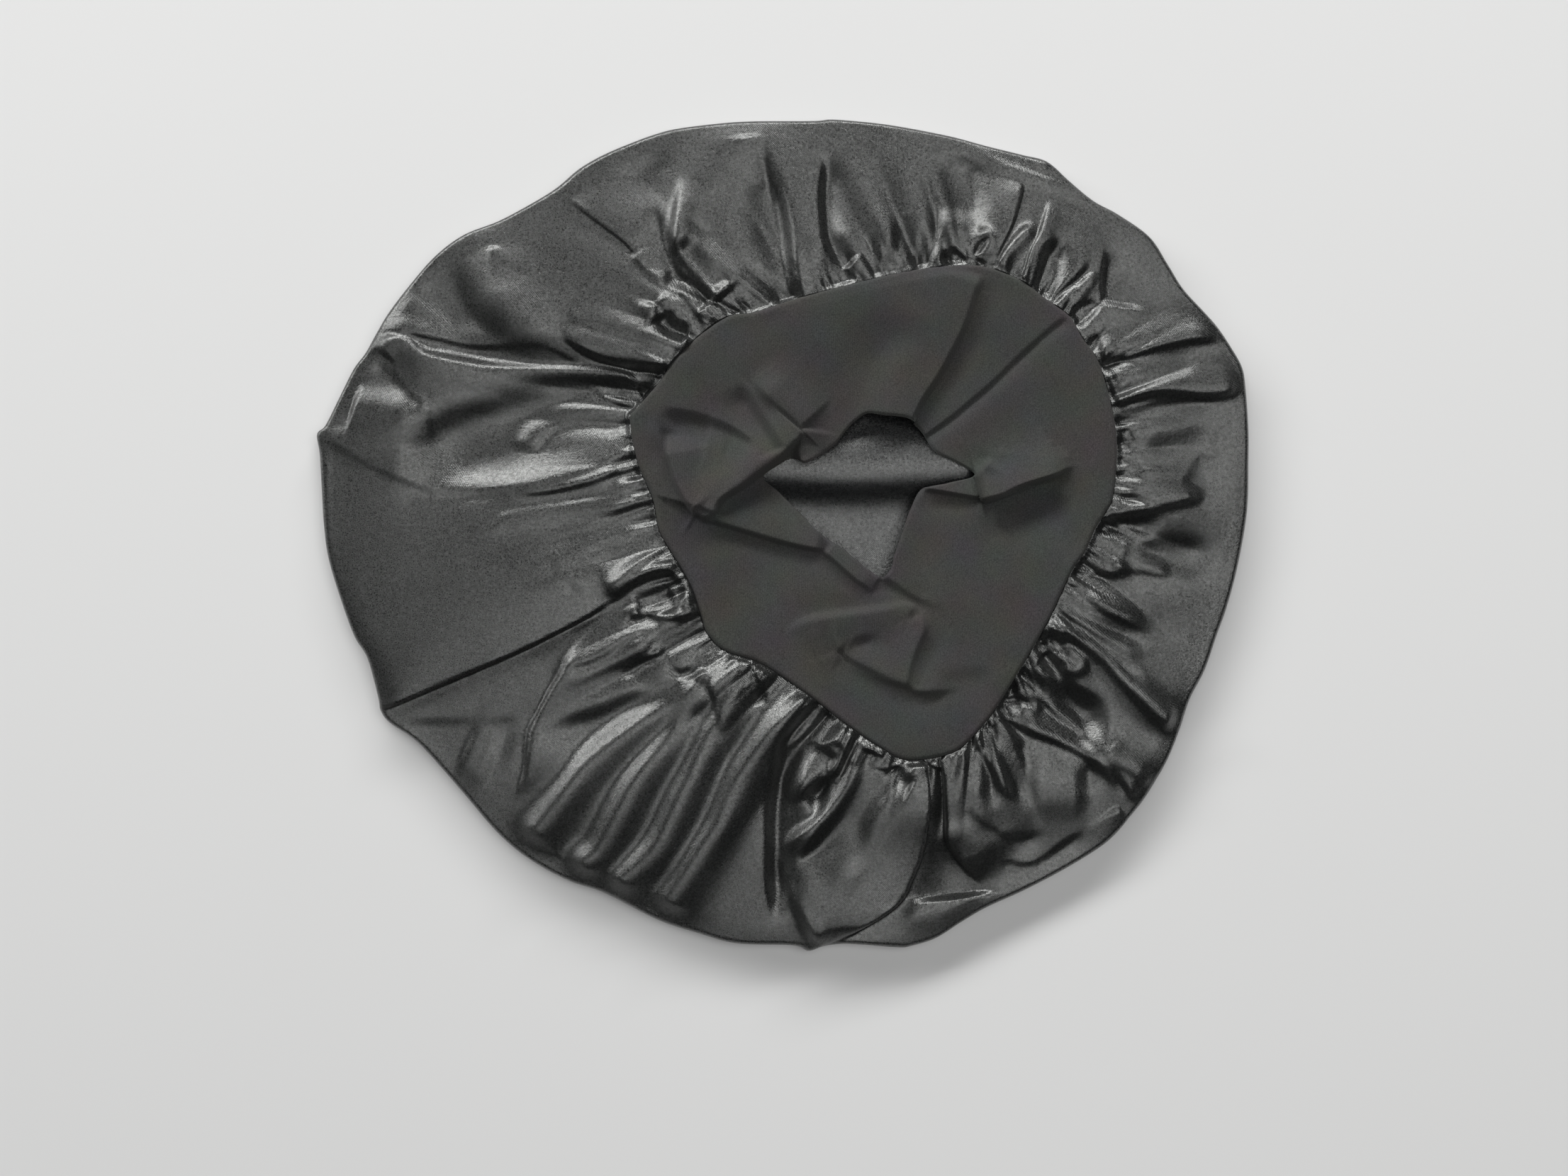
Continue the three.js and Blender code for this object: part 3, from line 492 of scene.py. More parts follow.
# Folds of the band, on the same scale
BAND_FOLDS = [
    flap("raised panel, top", 2.4, 24, "e", [(1386, 392), (1374, 422), (1360, 465), (1341, 504), (1322, 538),
                                              (1302, 568), (1290, 592)], (0.1, 0), 1.5, 0.5, 0.25),
    fold("soft valley left of the panel", -1.4, 5, 4, "e", [(1307, 461), (1259, 509), (1235, 547), (1222, 585)],
         (0.4, 0), 1.8),
    fold("closing seam groove", -0.9, 0.9, 0.8, "s", CLOSING_SEAM_PX, (0, 0)),
    flap("raised fold, right", 5.2, 10, "s",
         [(1382, 708), (1410, 700), (1437, 687), (1485, 672), (1507, 663), (1513, 655)], (0.02, 0.3), 1.3, 1.2, 0.3),
    flap("its left edge", 4.0, 14, "w", [(1398, 641), (1386, 656), (1377, 670), (1381, 690), (1386, 708)],
         (0.25, 0.02), 1.2, 0.8, 0.2),
    fold("upper line of the fold", 1.0, 4, 2, "n", [(1398, 641), (1437, 646), (1485, 650), (1512, 652)],
         (0.1, 0.2)),
    flap("lower triangle, right", 2.0, 8, "s", [(1300, 692), (1336, 698), (1384, 706)], (0.1, 0.1), 1.0, 0.4),
    fold("valley under the fold", -1.6, 8, 3, "n", [(1390, 722), (1440, 702), (1500, 680)], (0.2, 0.3), 1.7),
    flap("left lobe, outer edge", 5.0, 13, "w",
         [(941, 610), (943, 640), (948, 658), (957, 687), (972, 715), (985, 728)], (0.3, 0.05), 1.3, 1.2, 0.2),
    flap("left lobe, lower edge", 4.4, 10, "s", [(978, 726), (995, 732), (1012, 728)], (0.1, 0.1), 1.1, 0.5),
    flap("left lobe, hem edge", 5.4, 14, "se",
         [(1010, 728), (1018, 706), (1043, 690), (1072, 668), (1100, 648), (1118, 630), (1134, 612)],
         (0.05, 0.02), 1.2, 1.4, 0.3),
    fold("hem strip line", -0.7, 1.0, 0.8, "nw", [(1018, 696), (1043, 680), (1072, 658), (1098, 640), (1122, 618)],
         (0.1, 0.1)),
    fold("curled tip", 1.6, 1.6, 1.2, "w", [(1008, 708), (1016, 714), (1012, 726)], (0.1, 0.1)),
    fold("wall above the nose", 2.8, 5, 2.4, "sw", [(1060, 530), (1072, 542), (1091, 566), (1120, 590),
                                                     (1136, 606)], (0.4, 0.05)),
    fold("nose wall", 3.2, 4, 1.6, "w", [(1136, 600), (1133, 620), (1129, 640), (1134, 655)], (0.2, 0)),
    fold("lobe crease, upper", -1.8, 2.6, 1.6, "e", [(1044, 540), (1067, 581), (1086, 610), (1100, 636)],
         (0.3, 0.05)),
    fold("lobe crease, middle", -2.0, 4, 1.8, "n", [(930, 582), (980, 590), (1028, 605), (1067, 626), (1082, 636)],
         (0.2, 0.2)),
    swell("lobe swell", 2.0, 9, 7, "s", [(985, 640), (1030, 650)], (0.3, 0.3)),
    fold("lobe crease, short", -1.2, 2.4, 1.6, "s", [(930, 610), (948, 607), (965, 612)]),
    flap("crease under the lobe", 2.2, 12, "s", [(985, 733), (1019, 742), (1076, 759), (1120, 771), (1166, 780)],
         (0.05, 0.1), 1.0, 0.4),
    flap("free edge, lower", 1.6, 6, "sw", [(1158, 778), (1180, 797), (1200, 815), (1232, 840)], (0.1, 0.3), 1.0,
         0.3),
    fold("line past the mouth", -1.5, 2, 1.2, "s", [(1240, 812), (1262, 826), (1293, 845), (1328, 861)],
         (0.05, 0.4)),
    flap("lower lobe, top edge", 2.6, 12, "n",
         [(1102, 890), (1129, 874), (1158, 867), (1197, 862), (1245, 855), (1278, 850), (1297, 860)],
         (0.3, 0.05), 1.3, 0.5, 0.2),
    flap("lower lobe, left edge", 1.6, 8, "w", [(1178, 864), (1173, 898), (1180, 922)], (0.2, 0.1), 1.2, 0.4),
    flap("lower lobe, right edge", 2.6, 12, "e", [(1297, 862), (1306, 884), (1297, 908), (1288, 932),
                                                  (1278, 972)], (0.05, 0.1), 1.4, 0.6, 0.25),
    fold("lower lobe crease", -1.2, 2, 1.4, "n", [(1182, 922), (1206, 903), (1247, 895)], (0.05, 0.5)),
    flap("lower lobe, bottom edge", 2.0, 10, "s", [(1180, 922), (1225, 946), (1273, 968), (1297, 977),
                                                   (1341, 975), (1366, 972)], (0.05, 0.35), 1.4, 0.4, 0.25),
    fold("faint line, lower right", -0.7, 4, 2.4, "s", [(1403, 946), (1360, 948), (1312, 957)], (0.3, 0.3)),
]

# Folds of the lining's floor, seen through the mouth
FLOOR_FOLDS = [
    swell("bridge in the mouth", 6.5, 15, 7, "s", [(1040, 655), (1120, 662), (1200, 666), (1300, 662), (1400, 655)],
          (0.1, 0.1)),
]


def smoothstep(low, high, x):
    t = np.clip((x - low) / (high - low), 0, 1)
    return t * t * (3 - 2 * t)


def rounded(radius, distance):
    """Height of a rounded edge of this radius, at a distance inward from it."""
    return radius * np.sqrt(np.clip(1 - (1 - np.clip(distance / radius, 0, 1)) ** 2, 0, 1))


def crowded(count, crowding):
    """Shares from 0 to 1 that lie closer together at both ends."""
    v = np.linspace(0, 1, count)
    return v - crowding * np.sin(2 * np.pi * v)


def unit(vectors):
    return vectors / np.linalg.norm(vectors, axis=-1, keepdims=True)


def with_height(xy, z):
    return np.concatenate([xy, z[..., None]], -1)


def lengths_along(run):
    return np.concatenate([[0], np.cumsum(np.linalg.norm(np.diff(run, axis=0), axis=1))])


def points_at(at, length, run):
    return np.stack([np.interp(at, length, run[:, k]) for k in range(2)], -1)


def spline(points, closed, step=1.2):
    """Catmull-Rom through points in mm, resampled at an even step."""
    p = np.asarray(points, float)
    before, after = (p[-1:], p[:2]) if closed else (2 * p[:1] - p[1:2], 2 * p[-1:] - p[-2:-1])
    p = np.concatenate([before, p, after])
    t = np.linspace(0, 1, 12, endpoint=False)[:, None]
    runs = []
    for a, b, c, d in zip(p[:-3], p[1:-2], p[2:-1], p[3:]):
        runs.append(0.5 * (2 * b + (c - a) * t + (2 * a - 5 * b + 4 * c - d) * t ** 2
                           + (3 * b - a - 3 * c + d) * t ** 3))
    run = np.concatenate(runs + [p[1:2] if closed else p[-2:-1]])
    length = lengths_along(run)
    count = max(2, int(length[-1] / step))
    return points_at(np.linspace(0, length[-1], count + 1), length, run)


def outline(points_px, count):
    """count even points round a closed outline, the direction across it at each, and its whole length."""
    run = spline(to_mm(points_px), True, 0.5)
    length = lengths_along(run)
    line = points_at(np.arange(count) / count * length[-1], length, run)
    along = unit(np.roll(line, -3, 0) - np.roll(line, 3, 0))
    return line, np.stack([-along[:, 1], along[:, 0]], -1), length[-1]


def nearest_on(line, places, chunk=8192):
    """Distance of places to a polyline, signed positive on its left, and the share of its length there."""
    a, b = line[:-1], line[1:]
    run = b - a
    length = np.linalg.norm(run, axis=1)
    start = np.concatenate([[0], np.cumsum(length)])
    distance, share = np.empty(len(places)), np.empty(len(places))
    for first in range(0, len(places), chunk):
        p = places[first:first + chunk, None, :]
        t = np.clip(((p - a) * run).sum(-1) / (length ** 2), 0, 1)
        off = p - a - t[..., None] * run
        gap = np.hypot(off[..., 0], off[..., 1])
        k = gap.argmin(1)
        rows = np.arange(len(k))
        o = off[rows, k]
        side = np.sign(run[k, 0] * o[:, 1] - run[k, 1] * o[:, 0])
        distance[first:first + chunk] = gap[rows, k] * np.where(side == 0, 1, side)
        share[first:first + chunk] = (start[k] + t[rows, k] * length[k]) / start[-1]
    return distance, share


def around(line, places, reach):
    """Which places lie within reach of the box round a line."""
    return ((places > line.min(0) - reach) & (places < line.max(0) + reach)).all(1)


def press(places, folds, gain=1.0, wall=1.0):
    """Height and sideways shift, in mm, that folds give to places. Folds that overlap merge rather than pile up.
    gain scales every rise, wall every lip's width."""
    up, down = np.zeros(len(places)), np.zeros(len(places))
    shift = np.zeros((len(places), 2))
    for f in folds:
        line = spline(to_mm(f["points"]), False)
        along = np.diff(line, axis=0)
        left = np.stack([-along[:, 1], along[:, 0]], -1).sum(0)
        out = np.array(COMPASS[f["side"]], float)
        turn = 1 if left @ out > 0 else -1
        near = around(line, places, 2.6 * (f["reach"] if f["lip"] else max(f["gentle"], f["steep"])))
        if not near.any():
            continue
        d, share = nearest_on(line, places[near])
        d = d * turn
        fade = np.ones(len(d))
        for end, run in zip(f["ends"], (share, 1 - share)):
            if end:
                fade *= smoothstep(0, end, run)
        if f["lip"]:
            inner = -d
            lip = f["lip"] * wall
            body = np.exp(-(np.maximum(inner, 0) / f["reach"]) ** 1.7)
            rise = smoothstep(-0.35 * lip, lip, inner) * body
            hollow = np.exp(-((d - lip) / FLAP_HOLLOW_WIDTH) ** 2) * (1 - smoothstep(-lip, lip, inner))
            up[near] += (fade * f["rise"] * gain * rise) ** MERGING
            down[near] += (fade * f["rise"] * gain * f["hollow"] * hollow) ** MERGING
            lean = f["overhang"] * fade * np.exp(-((inner - lip) / (1.5 * lip)) ** 2)
            shift[near] += lean[:, None] * out / np.linalg.norm(out)
        else:
            if f["crest"]:
                width = np.where(d > 0, f["steep"], f["gentle"])
                q = np.sqrt(d ** 2 + f["crest"] ** 2) - f["crest"]
                part = np.exp(-(q / width) ** f["power"])
            else:
                part = smoothstep(-f["steep"], f["steep"], -d) * np.exp(
                    -(np.maximum(-d - f["steep"], 0) / f["gentle"]) ** f["power"])
            part = fade * abs(f["rise"]) * gain * part
            (up if f["rise"] > 0 else down)[near] += part ** MERGING
    return up ** (1 / MERGING) - down ** (1 / MERGING), shift


def soft_noise(places, layers):
    """Smooth noise in mm, from layers of rise, size of features and seed."""
    height = 0
    for rise, scale, seed in layers:
        table = np.random.default_rng(seed).uniform(-1, 1, (64, 64))
        p = places / scale + 32.37
        cell = np.floor(p).astype(int)
        t = p - cell
        t = t * t * (3 - 2 * t)
        i, j = cell[:, 0] % 64, cell[:, 1] % 64
        i1, j1 = (i + 1) % 64, (j + 1) % 64
        low = table[i, j] * (1 - t[:, 0]) + table[i1, j] * t[:, 0]
        high = table[i, j1] * (1 - t[:, 0]) + table[i1, j1] * t[:, 0]
        height = height + rise * (low * (1 - t[:, 1]) + high * t[:, 1])
    return height


seam_line, _, seam_length = outline(SEAM_PX, SATIN_LINES)
outer_line, _, _ = outline(OUTER_EDGE_PX, SATIN_LINES)


def pleats(seed=11):
    """Gathers of the satin at the seam: creases that run outward from it, most of them short."""
    rng = np.random.default_rng(seed)
    count = 2000
    line, out, length = outline(SEAM_PX, count)
    seam_middle = np.array([34.0, 14.0])
    made = []
    at = 0.0
    while at < length - 2:
        k = int(at / length * count) % count
        outward = out[k] * np.sign(out[k] @ (line[k] - seam_middle))
        far = outer_line[int(at / length * SATIN_LINES) % SATIN_LINES] - line[k]
        far /= np.linalg.norm(far)
        heading = outward * 0.55 + far * 0.45
        heading /= np.linalg.norm(heading)
        across = np.array([-heading[1], heading[0]])
        reach = min(40.0, 5.0 + rng.exponential(8.0))
        bend = rng.normal(0, 0.16) * reach
        start = line[k] - heading * 0.6
        points = np.array([start + heading * reach * t + across * bend * t ** 2 for t in (0, 0.3, 0.65, 1)])
        depth = rng.uniform(0.7, 1.5) * (0.8 + reach / 40)
        width = rng.uniform(0.6, 1.0) + reach / 40
        made.append((points, depth, width, rng.choice([-1, 1])))
        at += rng.uniform(2.4, 5.8)
    return made


def gather(places):
    """Height that the pleats give to places: each is a sharp valley at the seam, and widens outward."""
    height = np.zeros(len(places))
    for points, depth, width, side in pleats():
        line = spline(points, False, 0.8)
        near = around(line, places, 5 * width)
        if not near.any():
            continue
        d, share = nearest_on(line, places[near])
        w = width * (0.55 + 0.9 * share)
        d = d * side
        height[near] -= depth * (1 - share) ** 1.2 * smoothstep(-w, w, d) * np.exp(-(np.maximum(d - w, 0) / w / 2.2))
    return height


def gather_waves(from_seam):
    """Height of the soft folds that run outward from the seam and widen: sharp valleys between rounded ridges."""
    rng = np.random.default_rng(8)
    at = np.arange(SATIN_LINES) / SATIN_LINES
    average = 0.64

    def wander(count):
        terms = [rng.normal() * np.sin(2 * np.pi * (n * at + rng.random())) for n in range(1, count + 1)]
        return np.sum(terms, 0) / math.sqrt(count)

    height = np.zeros_like(from_seam)
    for spacing, rise, reach in WAVES:
        count = round(seam_length / spacing)
        ridge = np.abs(np.sin(np.pi * (count * at + 0.3 * wander(count // 3)))) - average
        strength = np.clip(0.7 + 0.4 * wander(count // 3), 0.15, 1.4)
        length = reach * np.clip(1 + 0.45 * wander(count // 2), 0.3, 2)
        height += rise * strength * ridge * np.exp(-(from_seam / length) ** 1.6)
    return height


def limited(z, low, high, soft=1.0):
    z = low + soft * np.logaddexp(0, (z - low) / soft)
    return high - soft * np.logaddexp(0, (high - z) / soft)


def satin_top():
    """Rows of points from the seam to the outer edge, (rows, lines, 3) in mm."""
    run = outer_line - seam_line
    length = np.linalg.norm(run, axis=1)
    inner = crowded(SATIN_ROWS, SATIN_CROWDING)[:, None] * (length - RIM_WIDTH)
    from_seam = np.concatenate([inner, length - np.array(RIM_ROWS)[:, None]])
    xy = seam_line + (from_seam / length)[..., None] * run
    edge = length - from_seam
    places = xy.reshape(-1, 2)
    folds, shift = press(places, SATIN_FOLDS)
    folds += gather(places)
    folds += soft_noise(places, SATIN_NOISE)
    folds = folds.reshape(edge.shape) + gather_waves(from_seam)

    wall = RIM_RISE * (1 - (1 - np.clip(edge / RIM_REACH, 0, 1)) ** 3)
    crown = wall + CROWN_RISE * (1 - np.exp(-edge / CROWN_REACH))
    at_seam = EDGE_MIDDLE * 2 + RIM_RISE + CROWN_RISE * (1 - np.exp(-length / CROWN_REACH))
    lowering = (SEAM_HEIGHT - at_seam) * np.exp(-from_seam / SEAM_REACH)
    seam_swell = SEAM_SWELL * np.exp(-((from_seam - SEAM_SWELL_AT) / SEAM_REACH) ** 2)
    rest = EDGE_MIDDLE + rounded(EDGE_MIDDLE, edge) + crown + lowering + seam_swell

    near_edge = (0.12 + 0.88 * smoothstep(0, 10, edge)) * smoothstep(-0.2, 1, edge)
    near_seam = 0.55 + 0.45 * smoothstep(0, 2.5, from_seam)
    z = rest + folds * near_edge * near_seam
    lift = smoothstep(0, 7, edge)
    z = z * (1 - lift) + limited(z, LOWEST_TOP, HIGHEST_TOP) * lift
    return with_height(xy + shift.reshape(xy.shape) * (lift * smoothstep(0, 2, from_seam))[..., None], z)


def ring_quads(rows, lines):
    """Corners of the quads between closed rows of points."""
    k = np.arange(lines)
    after = (k + 1) % lines
    return np.concatenate([
        np.stack([r * lines + k, (r + 1) * lines + k, (r + 1) * lines + after, r * lines + after], -1)
        for r in range(rows - 1)
    ])


def linked(name, data):
    made = bpy.data.objects.new(name, data)
    bpy.context.scene.collection.objects.link(made)
    return made


def grid_object(name, rows, material, centre=None):
    """Mesh over closed rows of points in mm, with a fan to centre where one is given."""
    count, lines, _ = rows.shape
    vertices = rows.reshape(-1, 3)
    quads = ring_quads(count, lines)
    fans = np.empty((0, 3), int)
    if centre is not None:
        k = (count - 1) * lines + np.arange(lines)
        fans = np.stack([k, np.full(lines, len(vertices)), np.roll(k, -1)], -1)
        vertices = np.concatenate([vertices, np.asarray(centre, float)[None]])
    corners = np.concatenate([quads.ravel(), fans.ravel()]).astype(np.int32)
    sizes = np.repeat((4, 3), (len(quads), len(fans))).astype(np.int32)
    mesh = bpy.data.meshes.new(name)
    mesh.vertices.add(len(vertices))
    mesh.vertices.foreach_set("co", (vertices * MM).astype(np.float32).ravel())
    mesh.loops.add(len(corners))
    mesh.loops.foreach_set("vertex_index", corners)
    mesh.polygons.add(len(sizes))
    mesh.polygons.foreach_set("loop_start", np.concatenate([[0], np.cumsum(sizes)[:-1]]).astype(np.int32))
    mesh.polygons.foreach_set("loop_total", sizes)
    mesh.update(calc_edges=True)
    mesh.validate()
    mesh.polygons.foreach_set("use_smooth", np.ones(len(mesh.polygons), bool))
    mesh.materials.append(material)
    return linked(name, mesh)


def settled(grid):
    """A grid of cloth after a short simulation that draws it in a little, evenly. The cloth is held firmly at the
    seam and the outer edge, and softly to its place between them."""
    coarse = grid[::SETTLING_STEP, ::SETTLING_STEP]
    rows, lines, _ = coarse.shape
    start = coarse.reshape(-1, 3) * SETTLING_SCALE
    mesh = bpy.data.meshes.new("settling")
    mesh.from_pydata(start.tolist(), [], ring_quads(rows, lines).tolist())
    sheet = linked("settling", mesh)
    from_seam = np.linalg.norm(coarse[..., :2] - coarse[:1, :, :2], axis=-1)
    to_edge = np.linalg.norm(coarse[..., :2] - coarse[-1:, :, :2], axis=-1)
    held = HOLD + (1 - HOLD) * np.maximum(np.exp(-(from_seam / 1.0) ** 2), np.exp(-(to_edge / 5.0) ** 2))
    pin = sheet.vertex_groups.new(name="pin")
    levels = np.round(held.ravel(), 2)
    for level in np.unique(levels):
        pin.add(np.nonzero(levels == level)[0].tolist(), float(level), "REPLACE")
    cloth = sheet.modifiers.new("cloth", "CLOTH")
    for setting, value in CLOTH.items():
        setattr(cloth.settings, setting, value)
    cloth.settings.effector_weights.gravity = 0
    cloth.collision_settings.use_collision = False
    cloth.point_cache.frame_start, cloth.point_cache.frame_end = 1, SETTLING_FRAMES
    scene = bpy.context.scene
    for number in range(1, SETTLING_FRAMES + 1):
        scene.frame_set(number)
    found = sheet.evaluated_get(bpy.context.evaluated_depsgraph_get())
    ended = np.empty(len(start) * 3, np.float32)
    found.data.vertices.foreach_get("co", ended)
    moved = (ended.reshape(-1, 3) - start).reshape(coarse.shape) / SETTLING_SCALE
    bpy.data.objects.remove(sheet)
    bpy.data.meshes.remove(mesh)
    scene.frame_set(1)
    at_rows = np.minimum(np.arange(grid.shape[0]) / SETTLING_STEP, rows - 1)
    r0 = np.floor(at_rows).astype(int)
    r1 = np.minimum(r0 + 1, rows - 1)
    f = (at_rows - r0)[:, None, None]
    by_rows = moved[r0] * (1 - f) + moved[r1] * f
    at_lines = np.arange(grid.shape[1]) / SETTLING_STEP
    c0 = np.floor(at_lines).astype(int)
    c1 = (c0 + 1) % lines
    g = (at_lines - c0)[None, :, None]
    return grid + by_rows[:, c0] * (1 - g) + by_rows[:, c1] * g


class Shading:
    """A material with a Principled shader, and short ways to add the nodes that the cloths share."""

    def __init__(self, name):
        self.material = bpy.data.materials.new(name)
        self.material.use_nodes = True
        self.tree = self.material.node_tree
        self.tree.nodes.clear()
        out = self.tree.nodes.new("ShaderNodeOutputMaterial")
        self.shader = self.tree.nodes.new("ShaderNodeBsdfPrincipled")
        self.tree.links.new(self.shader.outputs["BSDF"], out.inputs["Surface"])

    def fill(self, node, inputs):
        """Sets each input to a number or colour, or links it to another node's output."""
        for key, value in inputs.items():
            if isinstance(value, bpy.types.NodeSocket):
                self.tree.links.new(value, node.inputs[key])
            else:
                node.inputs[key].default_value = value

    def add(self, kind, output, inputs, **attributes):
        node = self.tree.nodes.new("ShaderNode" + kind)
        for key, value in attributes.items():
            setattr(node, key, value)
        self.fill(node, inputs)
        return node.outputs[output]

    def placed(self, kind, output, inputs, **attributes):
        """A texture over the object's own coordinates."""
        place = self.add("TexCoord", "Object", {})
        return self.add(kind, output, {"Vector": place, **inputs}, **attributes)

    def noise(self, scale, detail=2, rough=0.5, output="Fac"):
        return self.placed("TexNoise", output, {"Scale": scale, "Detail": detail, "Roughness": rough})

    def wave(self, direction, scale, distortion, **more):
        inputs = {"Scale": scale, "Distortion": distortion, **more}
        return self.placed("TexWave", "Fac", inputs, bands_direction=direction)

    def mapped(self, value, low, high, to_low, to_high):
        inputs = {"Value": value, "From Min": low, "From Max": high, "To Min": to_low, "To Max": to_high}
        return self.add("MapRange", "Result", inputs)

    def ramp(self, value, *stops):
        """Colours between two stops of position and colour."""
        colour = self.add("ValToRGB", "Color", {"Fac": value})
        for element, (position, tone) in zip(colour.node.color_ramp.elements, stops):
            element.position = position
            element.color = tone
        return colour

    def maths(self, operation, first, second):
        return self.add("Math", "Value", {0: first, 1: second}, operation=operation)

    def mix(self, first, second, factor, blend="MIX"):
        inputs = {"A": first, "B": second, "Factor": factor}
        return self.add("Mix", "Result", inputs, data_type="RGBA", blend_type=blend)

    def bump(self, height, strength, distance):
        return self.add("Bump", "Normal", {"Strength": strength, "Distance": distance, "Height": height})

    def finished(self, inputs):
        self.fill(self.shader, inputs)
        return self.material


def satin_material(name, bright, dark):
    """Glossy satin: fine twill lines, sparkle of single floats and slow changes of tone."""
    s = Shading(name)
    grain, fine, cloud = (s.noise(scale, detail, 0.55) for scale, detail in ((1900, 2), (1000, 1), (45, 3)))
    twill = s.wave("DIAGONAL", 900, 1.2, Detail=1)
    tone = s.maths("ADD", s.maths("MULTIPLY", s.mapped(grain, 0.3, 0.7, 0, 1), 0.55),
                   s.maths("MULTIPLY", s.mapped(cloud, 0.3, 0.7, 0, 1), 0.45))
    rough = s.maths("ADD", s.mapped(grain, 0.3, 0.7, 0.23, 0.37), s.mapped(cloud, 0.3, 0.7, -0.02, 0.03))
    relief = s.maths("ADD", s.maths("MULTIPLY", twill, 0.35), grain)
    sparkle = s.maths("ADD", grain, s.maths("MULTIPLY", fine, 0.8))
    return s.finished({
        "Base Color": s.mix((*dark, 1), (*bright, 1), tone), "Roughness": rough, "IOR": 1.75,
        "Normal": s.bump(relief, 1, 0.00011), "Specular IOR Level": s.mapped(sparkle, 0.62, 1.18, 0.26, 0.78),
        "Specular Tint": (0.99, 1, 0.975, 1), "Sheen Weight": 0.05, "Sheen Roughness": 0.4,
    })


def knit_material(name):
    """Matte stretch knit: fine ribs, fuzzy grain and slow changes of tone."""
    s = Shading(name)
    grain = s.noise(2200, 3)
    ribs = s.wave("X", 420, 1.5, **{"Detail Scale": 3})
    fibres = s.ramp(grain, (0.3, (0.026, 0.026, 0.0245, 1)), (0.7, (0.056, 0.056, 0.053, 1)))
    return s.finished({
        "Base Color": s.mix(fibres, s.noise(60, output="Color"), 0.35, "MULTIPLY"), "Roughness": 0.93,
        "Normal": s.bump(s.maths("ADD", ribs, grain), 0.3, 0.00015), "Specular IOR Level": 0.22,
        "Sheen Weight": 0.1, "Sheen Roughness": 0.6, "Sheen Tint": (0.5, 0.5, 0.48, 1),
    })


def thread_material(name):
    """Spun sewing thread: plies wound round each other, with a little fuzz."""
    s = Shading(name)
    plies = s.wave("DIAGONAL", 1500, 1)
    return s.finished({
        "Base Color": s.mix((0.012, 0.012, 0.0125, 1), (0.04, 0.04, 0.042, 1), plies), "Roughness": 0.6,
        "Normal": s.bump(s.maths("ADD", plies, s.noise(3000)), 0.6, 0.00008), "Specular IOR Level": 0.4,
    })


satin = satin_material("black_satin", (0.009, 0.0095, 0.009), (0.005, 0.0053, 0.0051))
lining_satin = satin_material("black_lining_satin", (0.01, 0.0107, 0.0112), (0.0055, 0.0058, 0.0061))
knit = knit_material("black_stretch_knit")
thread = thread_material("black_sewing_thread")

# Satin shell and the lining inside it
top = settled(satin_top())
middle = to_mm(FLOOR_MIDDLE_PX)


def dropped(row, drops):
    """Copies of a row of points, each lowered by one of drops."""
    return np.array([row - [0, 0, drop] for drop in drops])


def shell_rows(upper, depth, floor_rows, floor_folds=None):
    """Whole layer: allowance at the seam, upper ring, rolled edge, and the floor to the middle."""
    edge = upper[-1, :, :2]
    inward = unit(upper[-6, :, :2] - edge)
    under = []
    for e in UNDER_ROWS:
        z = EDGE_MIDDLE - rounded(EDGE_MIDDLE, e) + depth
        under.append(with_height(edge + inward * e, np.full(len(edge), z)))
    last = under[-1][:, :2]
    for share in np.linspace(0, FLOOR_SHARE, floor_rows)[1:]:
        xy = last + (middle - last) * share
        z = np.full(len(xy), depth)
        if floor_folds:
            rise = FLOOR_LIFT + press(xy, floor_folds)[0] + soft_noise(xy, FLOOR_NOISE)
            z = depth + np.maximum(LEAST_LIFT, rise) * smoothstep(0, 0.15, share)
        under.append(with_height(xy, z))
    return np.concatenate([dropped(upper[0], SATIN_TUCK), upper, np.array(under)])


def inside_of(rows):
    """The lining's upper ring: under the shell's, inside its rim and outside its allowance."""
    inside = rows[::LINING_EVERY, ::LINING_EVERY].copy()
    inside[-1] = rows[-1, ::LINING_EVERY]
    inward = unit(middle - inside[..., :2])
    near_rim = np.linspace(0, 1, len(inside))[:, None, None] ** 12
    inside[..., 2] -= LINING_GAP * (1 - near_rim[..., 0])
    inside[..., :2] += inward * near_rim * LINING_GAP
    inside[:3, :, :2] -= inward[:3] * LINING_OUTWARD
    return inside


shell = grid_object("satin_shell_cloth", shell_rows(top, 0.0, SHELL_FLOOR_ROWS), satin, [*middle, 0])
lining_rows = shell_rows(inside_of(top), LINING_GAP, LINING_FLOOR_ROWS, FLOOR_FOLDS)
lining = grid_object("satin_lining_cloth", lining_rows, lining_satin, [*middle, lining_rows[-1, 0, 2]])


